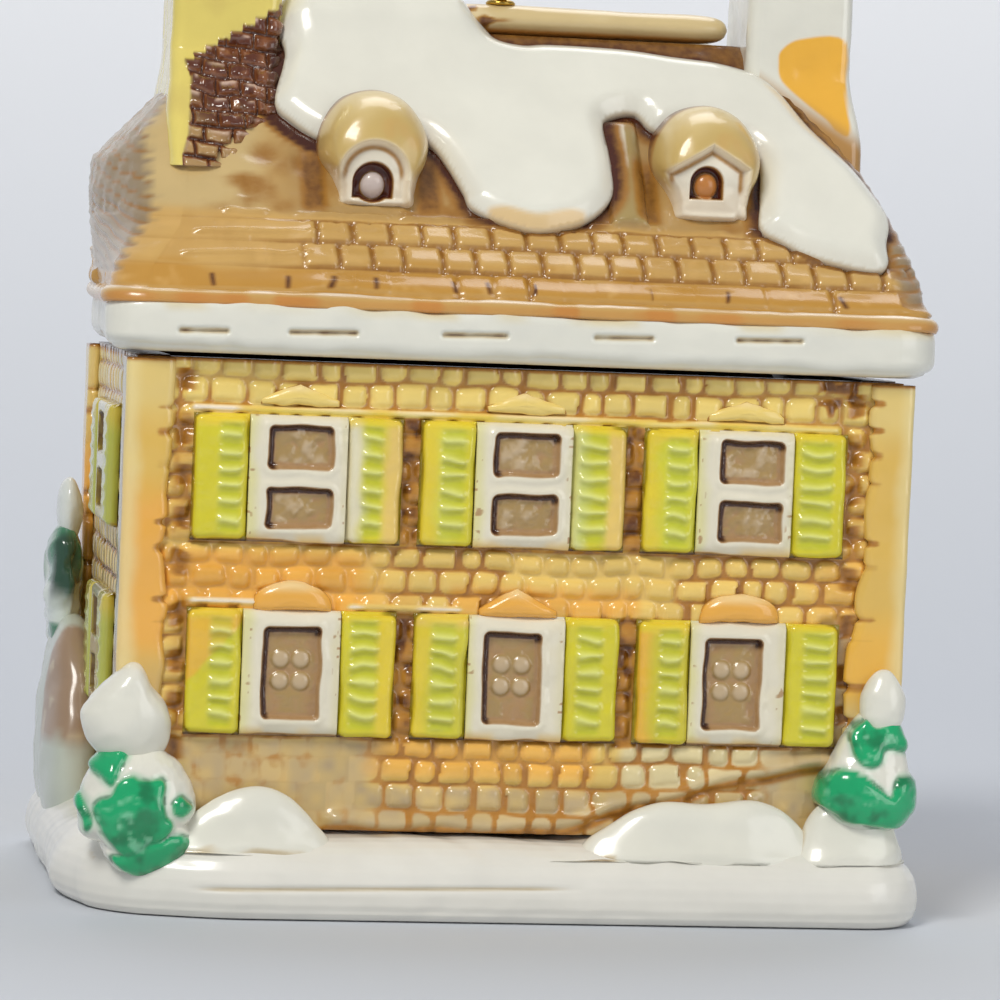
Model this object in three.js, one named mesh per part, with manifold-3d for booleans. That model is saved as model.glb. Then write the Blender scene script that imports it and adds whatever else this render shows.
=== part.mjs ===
// A snow-covered village house made as a hanging ornament: a glazed ceramic casting with stone walls,
// two storeys of shuttered windows, a hipped roof with dormers and end chimneys, a snowy base, and a
// brass eye and ring on the ridge.
// Millimetres, +Z up, front towards -Y, origin under the middle of the base.
import * as THREE from "three";
import { mergeVertices } from "three/addons/utils/BufferGeometryUtils.js";
import Module from "manifold-3d";

const wasm = await Module();
wasm.setup();

// Driving dimensions
const houseWidth = 56; // walls, along X
const houseDepth = 36; // walls, along Y
const wallThickness = 2.6;
const groundStorey = 17; // wall height from the snow to the storey line
const upperStorey = 17; // wall height from the storey line to the eave
const seatGap = 0.15; // glaze and slip between pieces that sit on each other

const baseOverhangLeft = 4.5; // room for the snow bank
const baseOverhangRight = 3;
const baseOverhangFront = 4.5;
const baseEdgeHeight = 2.6; // upright rim of the snowy base
const baseHeight = 6; // top of the base, where the walls stand
const baseCorner = 5;
const baseFrontLeftCorner = 10; // the corner that carries the big pine
const ventDiameter = 9; // casting vent in the underside

const eaveOverhangSide = 2.3;
const eaveOverhangFront = 2.5;
const eaveHeight = 3.1;
const eaveCorner = 3.2;
const eaveSlotLength = 4.9;
const eaveSlotHeight = 0.4;
const eaveSlotDepth = 0.35;
const eaveSlotPitch = 11.3;

const roofRise = 21; // eave to the foot of the ridge
const roofEndInset = 11; // how far each bulging hipped end leans in over that rise
// The left end bows out under its chimney. Each row is a share of the rise, then how far the end stands
// past the roof's half width at the eave: at its front corner, in its middle and at its back corner.
const leftEnd = [
  [0, 0.5, -0.6, -1.6],
  [0.13, -0.3, -0.2, -1.6],
  [0.27, -2.5, 0.3, -2.5],
  [0.39, -3.1, 0.5, -3.1],
  [0.5, -3.2, 0.4, -3.2],
  [0.6, -3.4, -1.6, -3.4],
  [0.72, -5.1, -4, -5.1],
  [1, -roofEndInset, -roofEndInset, -roofEndInset],
];
const eaveLeftEnd = [0.4, -1.2, -1.7]; // the same for the band of snow under it
const roofSkin = 2.4;
const ridgeHalfDepth = 1.7;
const ridgeHeight = 2.3;
const courseCount = 4; // shingle courses left bare above the eave
const courseRise = 1.65;
const courseStep = 0.5;
const shingleWidth = 2.8;
const shingleJoint = 0.3;

const bayGap = 1.25; // between the shutters of neighbouring bays, and from the last ones to the quoins
const windowWidth = 6.6;
const windowHeight = 9.1;
const frameThickness = 0.8;
const paneDepth = 0.5;
const lowerSill = 6.9; // above the base
const upperSill = 3.8; // above the storey line
const shutterThickness = 1.1;
const shutterReveal = 0.25; // gap between a frame and its shutter
const louvreCount = 6;
const plainLouvreCount = 4; // on the hidden walls
const louvreDepth = 0.45;

const pilasterWidth = 3.4;
const pilasterThickness = 0.7;
const quoinHeight = 2.6;
const quoinReach = 0.3; // how much further than the pilaster every other block reaches

const stoneWidth = 2.7;
const stoneHeight = 1.25;
const stoneJoint = 0.3;
const stoneProud = 0.45;
const hiddenStoneScale = 1.6; // the hidden walls carry larger stones

const doorWidth = 6.2;
const doorHeight = 11.4;
const doorSurround = 1.1;
const doorThickness = 1.4;
const doorPediment = 1.8;

const dormerWidth = 5.8;
const dormerSill = 7.6; // above the roof's springing
const dormerWallHeight = 3.6;
const dormerGable = 1.6;
const dormerHoodRadius = 4;
const dormersFromChimneys = [10.8, 8]; // left pair, right pair, middle to middle
const dormerArchWidth = 2.4;
const dormerArchDepth = 0.9;

const chimneyWidth = 8.2;
const chimneyDepth = 8.6;
const chimneyInsets = [7, 5.6]; // left and right, from a side wall's face to a chimney's middle
const chimneyTop = 25; // above the roof's springing
const chimneyFlare = 1.2; // spread of the sides at the foot
const chimneySkirt = 4.2; // spread of the front at the foot
const brickCourse = 2.3;
const capThickness = 1.6;

const snowThickness = 1.35;
const snowEdge = 0.5; // rounding of a snow sheet's edge
const lobeRoom = [1.7, 3.3]; // from the left and right hoods to the lobe that hangs between them
const ridgeDriftHeight = 1.3; // snow lying over the left part of the ridge
const ridgeDriftHalfDepth = 4;
const ridgeDriftRoom = 1.3; // from its end to the hanging eye

const eyeWire = 0.85;
const eyeLoopRadius = 1.75;
const eyeFlangeDiameter = 2.2;
const eyeShank = 1.7; // length let into the ridge
const ringWire = 0.8;
const ringRadius = 3.7;
const ringPlay = 0.25; // gap between ring and eye where the ring hangs

const pineHeights = { front_left: 15.6, front_right: 13.1, rear_left: 13.4 };
const pineSpreads = { front_left: 3.8, front_right: 3.3, rear_left: 2.6 };
// Width and height of the banks along the front.
const bankSizes = { front_left: [9.8, 4.3], front_right: [16.8, 4], corner_right: [8.8, 4.4] };
const rearBankSize = [6.8, 14.8, 14]; // out from the wall, along it, height

// Sizes that follow
const halfWidth = houseWidth / 2;
const halfDepth = houseDepth / 2;
const storeyLine = baseHeight + groundStorey;
const wallTop = storeyLine + upperStorey;
const eaveFoot = wallTop + seatGap;
const eaveTop = eaveFoot + eaveHeight;
const roofFoot = eaveTop + seatGap;
const roofHalfWidth = halfWidth + eaveOverhangSide - 0.4;
const roofHalfDepth = halfDepth + eaveOverhangFront - 0.4;
const ridgeFoot = roofFoot + roofRise;
const ridgeTop = ridgeFoot + ridgeHeight;
const frontRun = roofHalfDepth - ridgeHalfDepth;
const slopeAngle = Math.atan2(roofRise, frontRun);
const baseHalfWidth = halfWidth + (baseOverhangLeft + baseOverhangRight) / 2;
const baseCentre = (baseOverhangRight - baseOverhangLeft) / 2; // from the middle of the house
const baseHalfDepth = halfDepth + baseOverhangFront;
const frontRoom = houseWidth + 2 * (seatGap + pilasterThickness - pilasterWidth - quoinReach);
const shutterReach = (frontRoom - 4 * bayGap) / 6; // from a window's middle to its shutter's far edge
const shutterWidth = shutterReach - shutterReveal - windowWidth / 2;
const bayPitch = 2 * shutterReach + bayGap;
const chimneyXs = [chimneyInsets[0] - halfWidth, halfWidth - chimneyInsets[1]];
const dormerXs = [chimneyXs[0] + dormersFromChimneys[0], chimneyXs[1] - dormersFromChimneys[1]];

const paint = (name, color, roughness = 0.25, metalness = 0) =>
  Object.assign(new THREE.MeshStandardMaterial({ color, roughness, metalness }), { name });
const snowWhite = paint("snow_white", "#e6e6dc");
const stoneYellow = paint("stone_yellow", "#e0b75f");
const quoinOrange = paint("quoin_orange", "#e9a94a");
const shutterLime = paint("shutter_lime", "#cdd13c");
const frameWhite = paint("frame_white", "#dcdad0");
const shingleTan = paint("shingle_tan", "#c6995a");
const hoodBeige = paint("hood_beige", "#d8bf82");
const chimneyYellow = paint("chimney_yellow", "#e3ca68");
const pineGreen = paint("pine_green", "#159a62");
const doorBrown = paint("door_brown", "#9a6234");
const brass = paint("brass", "#c9a243", 0.25, 1);

// The house is modelled about its own middle, which stands beside the middle of the base.
const ornament = new THREE.Group();
const house = new THREE.Group();
house.position.x = -baseCentre;
ornament.add(house);

// A closed three.js geometry as a manifold solid.
function solid(geometry) {
  const bare = geometry.index ? geometry.toNonIndexed() : geometry.clone();
  bare.deleteAttribute("normal");
  bare.deleteAttribute("uv");
  const merged = mergeVertices(bare, 1e-4);
  return new wasm.Manifold(
    new wasm.Mesh({
      numProp: 3,
      vertProperties: new Float32Array(merged.attributes.position.array),
      triVerts: new Uint32Array(merged.index.array),
    }),
  );
}

// Adds a manifold solid to a parent group as one named mesh.
function addPiece(parent, name, piece, material) {
  const { numProp, vertProperties, triVerts } = piece.getMesh();
  const points = new Float32Array((vertProperties.length / numProp) * 3);
  for (let i = 0; i * numProp < vertProperties.length; i++)
    points.set(vertProperties.subarray(i * numProp, i * numProp + 3), i * 3);
  const geometry = new THREE.BufferGeometry()
    .setAttribute("position", new THREE.BufferAttribute(points, 3))
    .setIndex(new THREE.BufferAttribute(new Uint32Array(triVerts), 1));
  const mesh = new THREE.Mesh(geometry, material);
  mesh.name = name;
  parent.add(mesh);
  return mesh;
}

const joinAll = (pieces) => pieces.reduce((sum, piece) => sum.add(piece));

// A closed skin over rings of as many points each, which run anticlockwise seen from the last ring's end.
function loft(rings) {
  const count = rings[0].length;
  const points = rings.flat();
  const faces = [];
  for (let r = 0; r + 1 < rings.length; r++)
    for (let i = 0; i < count; i++) {
      const a = r * count + i;
      const b = r * count + ((i + 1) % count);
      faces.push(a, b, b + count, a, b + count, a + count);
    }
  const last = (rings.length - 1) * count;
  for (const [ring, start, outward] of [
    [rings[0], 0, false],
    [rings.at(-1), last, true],
  ]) {
    if (count === 4) {
      faces.push(...[0, 1, 2, 0, 2, 3].map((i) => start + (outward ? i : 3 - i)));
      continue;
    }
    const middle = ring.reduce((sum, p) => sum.map((v, k) => v + p[k] / count), [0, 0, 0]);
    points.push(middle);
    const hub = points.length - 1;
    for (let i = 0; i < count; i++) {
      const a = start + i;
      const b = start + ((i + 1) % count);
      faces.push(...(outward ? [hub, a, b] : [hub, b, a]));
    }
  }
  const geometry = new THREE.BufferGeometry()
    .setAttribute("position", new THREE.BufferAttribute(new Float32Array(points.flat()), 3))
    .setIndex(faces);
  return solid(geometry);
}

// A rounded rectangle at height z, anticlockwise from above; its front left corner may have its own radius.
function roundedRing(halfX, halfY, radius, z, steps = 4, frontLeft = radius) {
  const ring = [];
  for (let corner = 0; corner < 4; corner++) {
    const r = Math.min(corner === 2 ? frontLeft : radius, halfX - 0.01, halfY - 0.01);
    const cx = (corner === 0 || corner === 3 ? 1 : -1) * (halfX - r);
    const cy = (corner < 2 ? 1 : -1) * (halfY - r);
    for (let i = 0; i <= steps; i++) {
      const angle = (corner + i / steps) * (Math.PI / 2);
      ring.push([cx + r * Math.cos(angle), cy + r * Math.sin(angle), z]);
    }
  }
  return ring;
}

const shifted = (ring, x, y = 0) => ring.map(([px, py, pz]) => [px + x, py + y, pz]);

const block = (sizeX, sizeY, sizeZ, x = 0, y = 0, z = 0) =>
  solid(new THREE.BoxGeometry(sizeX, sizeY, sizeZ).translate(x, y, z));

const mainBody = (piece) =>
  piece.decompose().reduce((best, body) => (body.volume() > best.volume() ? body : best));

// A plate drawn in a wall's own plane (across, up) from y = back out to y = back - thickness.
function wallPlate(shape, thickness, back = 0, curveSegments = 8) {
  const geometry = new THREE.ExtrudeGeometry(shape, { depth: thickness, bevelEnabled: false, curveSegments });
  return solid(geometry.rotateX(Math.PI / 2).translate(0, back, 0));
}

function rectangle(left, bottom, width, height) {
  return new THREE.Shape([
    new THREE.Vector2(left, bottom),
    new THREE.Vector2(left + width, bottom),
    new THREE.Vector2(left + width, bottom + height),
    new THREE.Vector2(left, bottom + height),
  ]);
}

function ball([radiusX, radiusY, radiusZ], [x, y, z], grow = 0, across = 14, up = 8) {
  return solid(
    new THREE.SphereGeometry(1, across, up)
      .rotateX(Math.PI / 2)
      .scale(radiusX + grow, radiusY + grow, radiusZ + grow)
      .translate(x, y, z),
  );
}

// Each wall's group: its face is the plane y = 0, with the outside towards -Y.
function wallGroup(x, y, turn) {
  const group = new THREE.Group();
  group.position.set(x, y, 0);
  group.rotation.z = turn;
  group.updateMatrix();
  house.add(group);
  return group;
}
const walls = {
  front: { group: wallGroup(0, -halfDepth, 0), half: halfWidth, stoneScale: 1 },
  back: { group: wallGroup(0, halfDepth, Math.PI), half: halfWidth, stoneScale: hiddenStoneScale },
  left: { group: wallGroup(-halfWidth, 0, -Math.PI / 2), half: halfDepth, stoneScale: hiddenStoneScale },
  right: { group: wallGroup(halfWidth, 0, Math.PI / 2), half: halfDepth, stoneScale: hiddenStoneScale },
};

// The snowy base: an upright rim, a shoulder that rolls up to the walls, and the casting vent.
function baseEnvelope(grow = 0) {
  const rim = [
    [0.7, 0],
    [0.1, 0.5],
    [0, baseEdgeHeight],
    [0.5, baseEdgeHeight + 1],
    [1.6, baseHeight - 1.2],
    [2.8, baseHeight],
  ];
  return loft(
    rim.map(([inset, z]) => {
      const out = grow - inset;
      const frontLeft = baseFrontLeftCorner + out;
      const halves = [baseHalfWidth + out, baseHalfDepth + out];
      return shifted(roundedRing(...halves, baseCorner + out, z + grow, 4, frontLeft), baseCentre);
    }),
  );
}
const vent = solid(
  new THREE.CylinderGeometry(ventDiameter / 2, ventDiameter / 2, baseHeight * 3, 24).rotateX(Math.PI / 2),
);
addPiece(house, "snow_base", baseEnvelope().subtract(vent), snowWhite);

// What each wall carries, so that its stones stay clear: rectangles as [left, bottom, right, top].
const sills = { lower: baseHeight + lowerSill, upper: storeyLine + upperSill };
const lintelHeight = { lower: 1.5, upper: 0.9 };
const lintelReach = windowWidth / 2 + 0.9;
const windowPlace = (x, storey) => {
  const top = sills[storey] + windowHeight;
  return [
    [x - shutterReach, sills[storey], x + shutterReach, top],
    [x - lintelReach, top, x + lintelReach, top + lintelHeight[storey]],
  ];
};
const frontBays = [-bayPitch, 0, bayPitch];
const sideWindows = [...windowPlace(0, "lower"), ...windowPlace(0, "upper")];
const doorReach = doorWidth / 2 + doorSurround;
const taken = {
  front: frontBays.flatMap((x) => [...windowPlace(x, "lower"), ...windowPlace(x, "upper")]),
  back: [
    ...frontBays.flatMap((x) => windowPlace(x, "upper")),
    ...windowPlace(-bayPitch, "lower"),
    ...windowPlace(bayPitch, "lower"),
    [-doorReach, baseHeight, doorReach, baseHeight + seatGap + doorHeight + doorPediment],
  ],
  left: sideWindows,
  right: sideWindows,
};

// One pillowed stone on a wall's face: a low frustum that runs into the wall behind it.
function stone(left, bottom, width, height) {
  const inset = Math.min(0.3, height / 4);
  const ring = (shrink, y) => [
    [left + shrink, y, bottom + shrink],
    [left + width - shrink, y, bottom + shrink],
    [left + width - shrink, y, bottom + height - shrink],
    [left + shrink, y, bottom + height - shrink],
  ];
  return loft([ring(0, 0.2), ring(inset, -stoneProud)]);
}

// Courses of stones over a wall, broken round its windows, its door and the corner pilasters.
function stoneCourses(half, scale, places) {
  const stones = [];
  const reach = half - pilasterWidth - stoneJoint;
  const height = stoneHeight * scale;
  const pitch = height + stoneJoint;
  const courses = Math.floor((wallTop - baseHeight - stoneJoint * 2) / pitch);
  const count = Math.max(2, Math.floor((2 * reach) / (stoneWidth * scale + stoneJoint)));
  const width = (2 * reach) / count - stoneJoint;
  for (let course = 0; course < courses; course++) {
    const bottom = wallTop - stoneJoint - (course + 1) * pitch;
    const shift = course % 2 ? 0 : (width + stoneJoint) / 2;
    for (let i = 0; i < count; i++) {
      const left = -reach + i * (width + stoneJoint) + shift;
      const fits = left + width <= reach + stoneJoint;
      const clear = places.every(
        ([x0, z0, x1, z1]) =>
          left > x1 + stoneJoint / 2 ||
          left + width < x0 - stoneJoint / 2 ||
          bottom > z1 + stoneJoint / 2 ||
          bottom + height < z0 - stoneJoint / 2,
      );
      if (fits && clear) stones.push(stone(left, bottom, width, height));
    }
  }
  return stones;
}

// The hollow wall casting with stone courses on all four faces.
const hollowWidth = houseWidth - 2 * wallThickness;
const hollowDepth = houseDepth - 2 * wallThickness;
function wallShell() {
  const height = wallTop - baseHeight - seatGap;
  const middle = baseHeight + seatGap + height / 2;
  const outer = block(houseWidth, houseDepth, height, 0, 0, middle);
  const inner = block(hollowWidth, hollowDepth, height * 2, 0, 0, middle);
  const relief = Object.entries(walls).flatMap(([side, { group, half, stoneScale }]) =>
    stoneCourses(half, stoneScale, taken[side]).map((piece) => piece.transform(group.matrix.elements)),
  );
  return joinAll([outer.subtract(inner), ...relief]);
}
addPiece(house, "wall_shell", wallShell(), stoneYellow);

// Corner pilasters: an L-shaped post round each corner, with quoin teeth along its inner edges.
function cornerPost(signX, signY, arm, foot, height, grow = 0) {
  const inX = signX * (halfWidth + seatGap - grow);
  const inY = signY * (halfDepth + seatGap - grow);
  const outX = signX * (halfWidth + seatGap + pilasterThickness + grow);
  const outY = signY * (halfDepth + seatGap + pilasterThickness + grow);
  const reach = arm + grow;
  const shape = new THREE.Shape(
    [
      [outX, outY],
      [outX - signX * reach, outY],
      [outX - signX * reach, inY],
      [inX, inY],
      [inX, outY - signY * reach],
      [outX, outY - signY * reach],
    ].map(([x, y]) => new THREE.Vector2(x, y)),
  );
  const geometry = new THREE.ExtrudeGeometry(shape, { depth: height, bevelEnabled: false });
  return solid(geometry.translate(0, 0, foot));
}
const wallFoot = baseHeight + seatGap;
const corners = [
  ["front_left", -1, -1],
  ["front_right", 1, -1],
  ["back_left", -1, 1],
  ["back_right", 1, 1],
];
for (const [name, signX, signY] of corners) {
  const height = wallTop - wallFoot - seatGap;
  const pieces = [cornerPost(signX, signY, pilasterWidth - 2 * quoinReach, wallFoot, height)];
  for (let z = wallFoot + quoinHeight; z + quoinHeight < wallTop; z += 2 * quoinHeight)
    pieces.push(cornerPost(signX, signY, pilasterWidth + quoinReach, z, quoinHeight - stoneJoint));
  addPiece(house, "pilaster_" + name, joinAll(pieces), quoinOrange);
}

// A window casting: a plate with sunk panes and the lintel over it.
function windowFrame(storey, lintel) {
  const bottom = sills[storey];
  const top = bottom + windowHeight;
  const half = windowWidth / 2;
  let frame = wallPlate(rectangle(-half, bottom, windowWidth, windowHeight), frameThickness, -seatGap);
  const front = -seatGap - frameThickness;
  const sink = (width, low, height) => block(width, paneDepth * 2, height, 0, front, low + height / 2);
  const stile = 1.05;
  const paneWidth = windowWidth - 2 * stile;
  if (storey === "upper") {
    const rail = 1.1;
    const paneHeight = (windowHeight - 3 * rail) / 2;
    for (const row of [0, 1])
      frame = frame.subtract(sink(paneWidth, bottom + rail + row * (paneHeight + rail), paneHeight));
  } else {
    const rail = 1.2;
    const bar = 0.32;
    const paneHeight = windowHeight - 2 * rail;
    frame = frame.subtract(sink(paneWidth, bottom + rail, paneHeight));
    const barDepth = paneDepth / 2 + 0.05;
    const barY = front + paneDepth - barDepth / 2 + 0.05;
    frame = frame.add(block(bar, barDepth, paneHeight + 0.2, 0, barY, bottom + windowHeight / 2));
    for (const share of [1 / 3, 2 / 3])
      frame = frame.add(block(paneWidth + 0.2, barDepth, bar, 0, barY, bottom + rail + paneHeight * share));
  }
  const head = new THREE.Shape();
  const rise = lintelHeight[storey];
  const brow = top + 2 * seatGap;
  head.moveTo(-half, top - 0.2);
  head.lineTo(half, top - 0.2);
  head.lineTo(half, brow);
  head.lineTo(lintelReach, brow);
  head.lineTo(lintelReach, brow + 0.2);
  if (lintel === "arch") head.quadraticCurveTo(0, top + 2 * rise - brow + top, -lintelReach, brow + 0.2);
  else head.lineTo(0, top + rise).lineTo(-lintelReach, brow + 0.2);
  head.lineTo(-lintelReach, brow);
  head.lineTo(-half, brow);
  return frame.add(wallPlate(head, frameThickness + 0.25, -seatGap));
}

// A louvred shutter: a plate whose middle is a saw-tooth run of slats between two stiles.
function shutter(storey, centre, louvres = louvreCount) {
  const bottom = sills[storey];
  const stile = 0.75;
  const rail = 0.7;
  const left = centre - shutterWidth / 2;
  const plate = wallPlate(rectangle(left, bottom, shutterWidth, windowHeight), shutterThickness, -seatGap);
  const slatWidth = shutterWidth - 2 * stile;
  const run = windowHeight - 2 * rail;
  const pitch = run / louvres;
  const tooth = new THREE.Shape();
  tooth.moveTo(-0.1, 0);
  for (let i = 0; i < louvres; i++) {
    tooth.lineTo(0, i * pitch);
    tooth.lineTo(louvreDepth, (i + 0.12) * pitch);
    tooth.lineTo(0, (i + 0.9) * pitch);
  }
  tooth.lineTo(0, run);
  tooth.lineTo(-0.1, run);
  const cutter = new THREE.ExtrudeGeometry(tooth, { depth: slatWidth, bevelEnabled: false })
    .rotateX(Math.PI / 2)
    .rotateZ(Math.PI / 2)
    .translate(centre - slatWidth / 2, -seatGap - shutterThickness, bottom + rail);
  return plate.subtract(solid(cutter));
}
const shutterOffset = windowWidth / 2 + shutterReveal + shutterWidth / 2;
const lintels = ["arch", "pediment", "arch"];

frontBays.forEach((x, bay) => {
  const place = ["left", "middle", "right"][bay];
  const group = walls.front.group;
  for (const storey of ["lower", "upper"]) {
    const name = `${storey}_${place}`;
    const frame = windowFrame(storey, storey === "lower" ? lintels[bay] : "pediment");
    addPiece(group, "window_" + name, frame.translate([x, 0, 0]), frameWhite);
    addPiece(group, `shutter_${name}_l`, shutter(storey, x - shutterOffset), shutterLime);
    addPiece(group, `shutter_${name}_r`, shutter(storey, x + shutterOffset), shutterLime);
  }
});

// The other walls carry each window and its pair of shutters as one casting, joined by a thin backing.
function windowUnit(storey, x = 0) {
  const width = 2 * shutterReach - 0.4;
  const backing = rectangle(-width / 2, sills[storey] + 0.3, width, windowHeight - 0.6);
  return joinAll([
    wallPlate(backing, 0.4, -seatGap),
    windowFrame(storey, storey === "lower" ? "arch" : "pediment"),
    shutter(storey, -shutterOffset, plainLouvreCount),
    shutter(storey, shutterOffset, plainLouvreCount),
  ]).translate([x, 0, 0]);
}
for (const storey of ["lower", "upper"]) {
  for (const side of ["left", "right"])
    addPiece(walls[side].group, `${side}_window_${storey}`, windowUnit(storey), frameWhite);
  frontBays.forEach((x, bay) => {
    const place = ["right", "middle", "left"][bay];
    if (storey === "lower" && place === "middle") return;
    addPiece(walls.back.group, `back_window_${storey}_${place}`, windowUnit(storey, x), frameWhite);
  });
}

// The door in the middle of the back wall: a surround with a pediment, a panelled leaf and a step.
function door() {
  const outline = new THREE.Shape();
  outline.moveTo(-doorReach, wallFoot);
  outline.lineTo(doorReach, wallFoot);
  outline.lineTo(doorReach, wallFoot + doorHeight);
  outline.lineTo(0, wallFoot + doorHeight + doorPediment);
  outline.lineTo(-doorReach, wallFoot + doorHeight);
  const leafDepth = 0.6;
  const front = -seatGap - doorThickness;
  const step = 0.9;
  const leafHeight = doorHeight - step - 0.6;
  const leaf = block(doorWidth, 2 * leafDepth, leafHeight, 0, front, wallFoot + step + leafHeight / 2);
  const panelWidth = doorWidth / 2 - 0.9;
  const panelHeight = leafHeight / 2 - 0.9;
  const panels = [-1, 1].flatMap((side) =>
    [0.25, 0.75].map((share) =>
      block(
        panelWidth,
        0.7,
        panelHeight,
        (side * doorWidth) / 4,
        front + leafDepth,
        wallFoot + step + leafHeight * share,
      ),
    ),
  );
  return joinAll([wallPlate(outline, doorThickness, -seatGap).subtract(leaf), ...panels]);
}
addPiece(walls.back.group, "back_door", door(), doorBrown);

// The left end's row at a share of the rise, between the rows of its table.
function leftEndAt(share) {
  const next = leftEnd.findIndex((row) => row[0] >= share - 1e-9);
  if (next <= 0) return leftEnd.at(next).slice(1);
  const [low, high] = [leftEnd[next - 1], leftEnd[next]];
  const part = (share - low[0]) / (high[0] - low[0]);
  return low.slice(1).map((value, i) => value + (high[i + 1] - value) * part);
}
// Bows the left side of a rounded ring: a parabola through its front corner, its middle and its back corner.
function bowed(ring, halfX, halfY, plain, [front, middle, back]) {
  const corner = ring.length / 4;
  const [from, to] = [ring[2 * corner - 1], ring[2 * corner]];
  const side = [0.25, 0.5, 0.75].map((part) => [from[0], from[1] + (to[1] - from[1]) * part, from[2]]);
  return [...ring.slice(0, 2 * corner), ...side, ...ring.slice(2 * corner)].map(([x, y, z]) => {
    if (x >= 0) return [x, y, z];
    const at = Math.max(-1, Math.min(1, y / halfY));
    const bow = middle + ((back - front) / 2) * at + ((front + back) / 2 - middle) * at ** 2;
    return [(x * (plain + bow)) / halfX, y, z];
  });
}

// The eave: a soffit plate that closes the wall top, rolled over in snow, with short slots along its faces.
function eaveBand() {
  const halfX = halfWidth + eaveOverhangSide;
  const halfY = halfDepth + eaveOverhangFront;
  const roll = 0.8;
  const sections = [
    [roll, 0],
    [roll * 0.25, roll * 0.35],
    [0, roll],
    [0, eaveHeight - roll],
    [roll * 0.25, eaveHeight - roll * 0.3],
    [roll, eaveHeight],
  ];
  const outer = loft(
    sections.map(([inset, z]) => {
      const corner = eaveCorner - inset / 2;
      const ring = roundedRing(halfX - inset, halfY - inset, corner, eaveFoot + z);
      return bowed(ring, halfX, halfY, halfX, eaveLeftEnd);
    }),
  );
  const hollow = block(hollowWidth, hollowDepth, eaveHeight * 4, 0, 0, eaveFoot);
  const slots = [];
  for (const [half, reach, turn] of [
    [halfX, halfY, 0],
    [halfX, halfY, Math.PI],
    [halfY, halfX, Math.PI / 2],
  ]) {
    const count = Math.max(1, Math.floor((2 * half - eaveSlotLength) / eaveSlotPitch));
    for (let i = 0; i < count; i++) {
      const slot = new THREE.BoxGeometry(eaveSlotLength, 2 * eaveSlotDepth, eaveSlotHeight)
        .translate((i - (count - 1) / 2) * eaveSlotPitch, -reach, eaveFoot + eaveHeight * 0.55)
        .rotateZ(turn);
      slots.push(solid(slot));
    }
  }
  return outer.subtract(hollow).subtract(joinAll(slots));
}
addPiece(house, "eave_snow", eaveBand(), snowWhite);

// The roof's plain form: straight front and back slopes, and hipped ends that bulge, as half sizes at a rise.
function roofHalves(rise) {
  const share = rise / roofRise;
  return [roofHalfWidth - roofEndInset * share ** 2, roofHalfDepth - frontRun * share];
}
function roofRing(rise, grow = 0, lift = 0) {
  const [halfX, halfY] = roofHalves(rise);
  const z = roofFoot + rise + lift;
  const ring = roundedRing(halfX + grow, halfY + grow, Math.min(2.4, halfY), z, 3);
  return bowed(ring, halfX, halfY, roofHalfWidth, leftEndAt(rise / roofRise));
}
const roofSteps = [0.3, 0.42, 0.51, 0.6, 0.72, 0.86, 1];
const coursesTop = courseCount * courseRise;

// The roof casting: stepped shingle courses above the eave, a plain slope above them, hollow inside.
function roofShell() {
  const rings = [];
  for (let course = 0; course < courseCount; course++) {
    rings.push(roofRing(course * courseRise, courseStep * 0.9));
    rings.push(roofRing((course + 0.97) * courseRise, courseStep * 0.15));
  }
  const plain = roofSteps.map((share) => share * roofRise).filter((rise) => rise > coursesTop + 0.5);
  rings.push(...[coursesTop, ...plain].map((rise) => roofRing(rise)));
  const hollow = [0, 0.3, 0.55, 0.78].map((share) => roofRing(share * roofRise, -roofSkin, share ? 0 : -0.1));
  // Shingle joints: short cuts down the front and back courses, staggered from course to course.
  const joints = [];
  for (let course = 0; course < courseCount; course++) {
    const [halfX, halfY] = roofHalves((course + 0.5) * courseRise);
    const z = roofFoot + (course + 0.5) * courseRise;
    const hip = roofHalfWidth + Math.min(...leftEndAt(((course + 1) * courseRise) / roofRise)) - 1.5;
    for (const [side, pitch] of [
      [-1, shingleWidth],
      [1, shingleWidth * hiddenStoneScale],
    ]) {
      const count = Math.floor((2 * halfX - 5) / pitch);
      const face = side * (halfY + courseStep * 0.55);
      for (let i = 0; i <= count; i++) {
        const along = (i - count / 2 + (course % 2 ? 0.25 : -0.25)) * pitch;
        if (-along > hip) continue;
        joints.push(block(shingleJoint, courseStep * 2, courseRise * 0.8, along, face, z));
      }
    }
  }
  return loft(rings).subtract(loft(hollow)).subtract(joinAll(joints));
}
addPiece(house, "roof_shell", roofShell(), shingleTan);

// Everything that sits on the roof is cut to it, with the seat gap left; offcuts under the roof are dropped.
function roofRoom() {
  const clear = courseStep * 0.9 + seatGap;
  const plain = roofSteps.map((share) => share * roofRise).filter((rise) => rise > coursesTop + 0.5);
  return loft([
    roofRing(0, clear, -1),
    roofRing(coursesTop - courseRise, clear),
    roofRing(coursesTop, 2 * seatGap),
    ...plain.map((rise) => roofRing(rise, 1.5 * seatGap)),
    roofRing(roofRise, seatGap, seatGap),
  ]);
}
const seatedRoof = roofRoom();
const onRoof = (piece) => mainBody(piece.subtract(seatedRoof));

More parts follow.
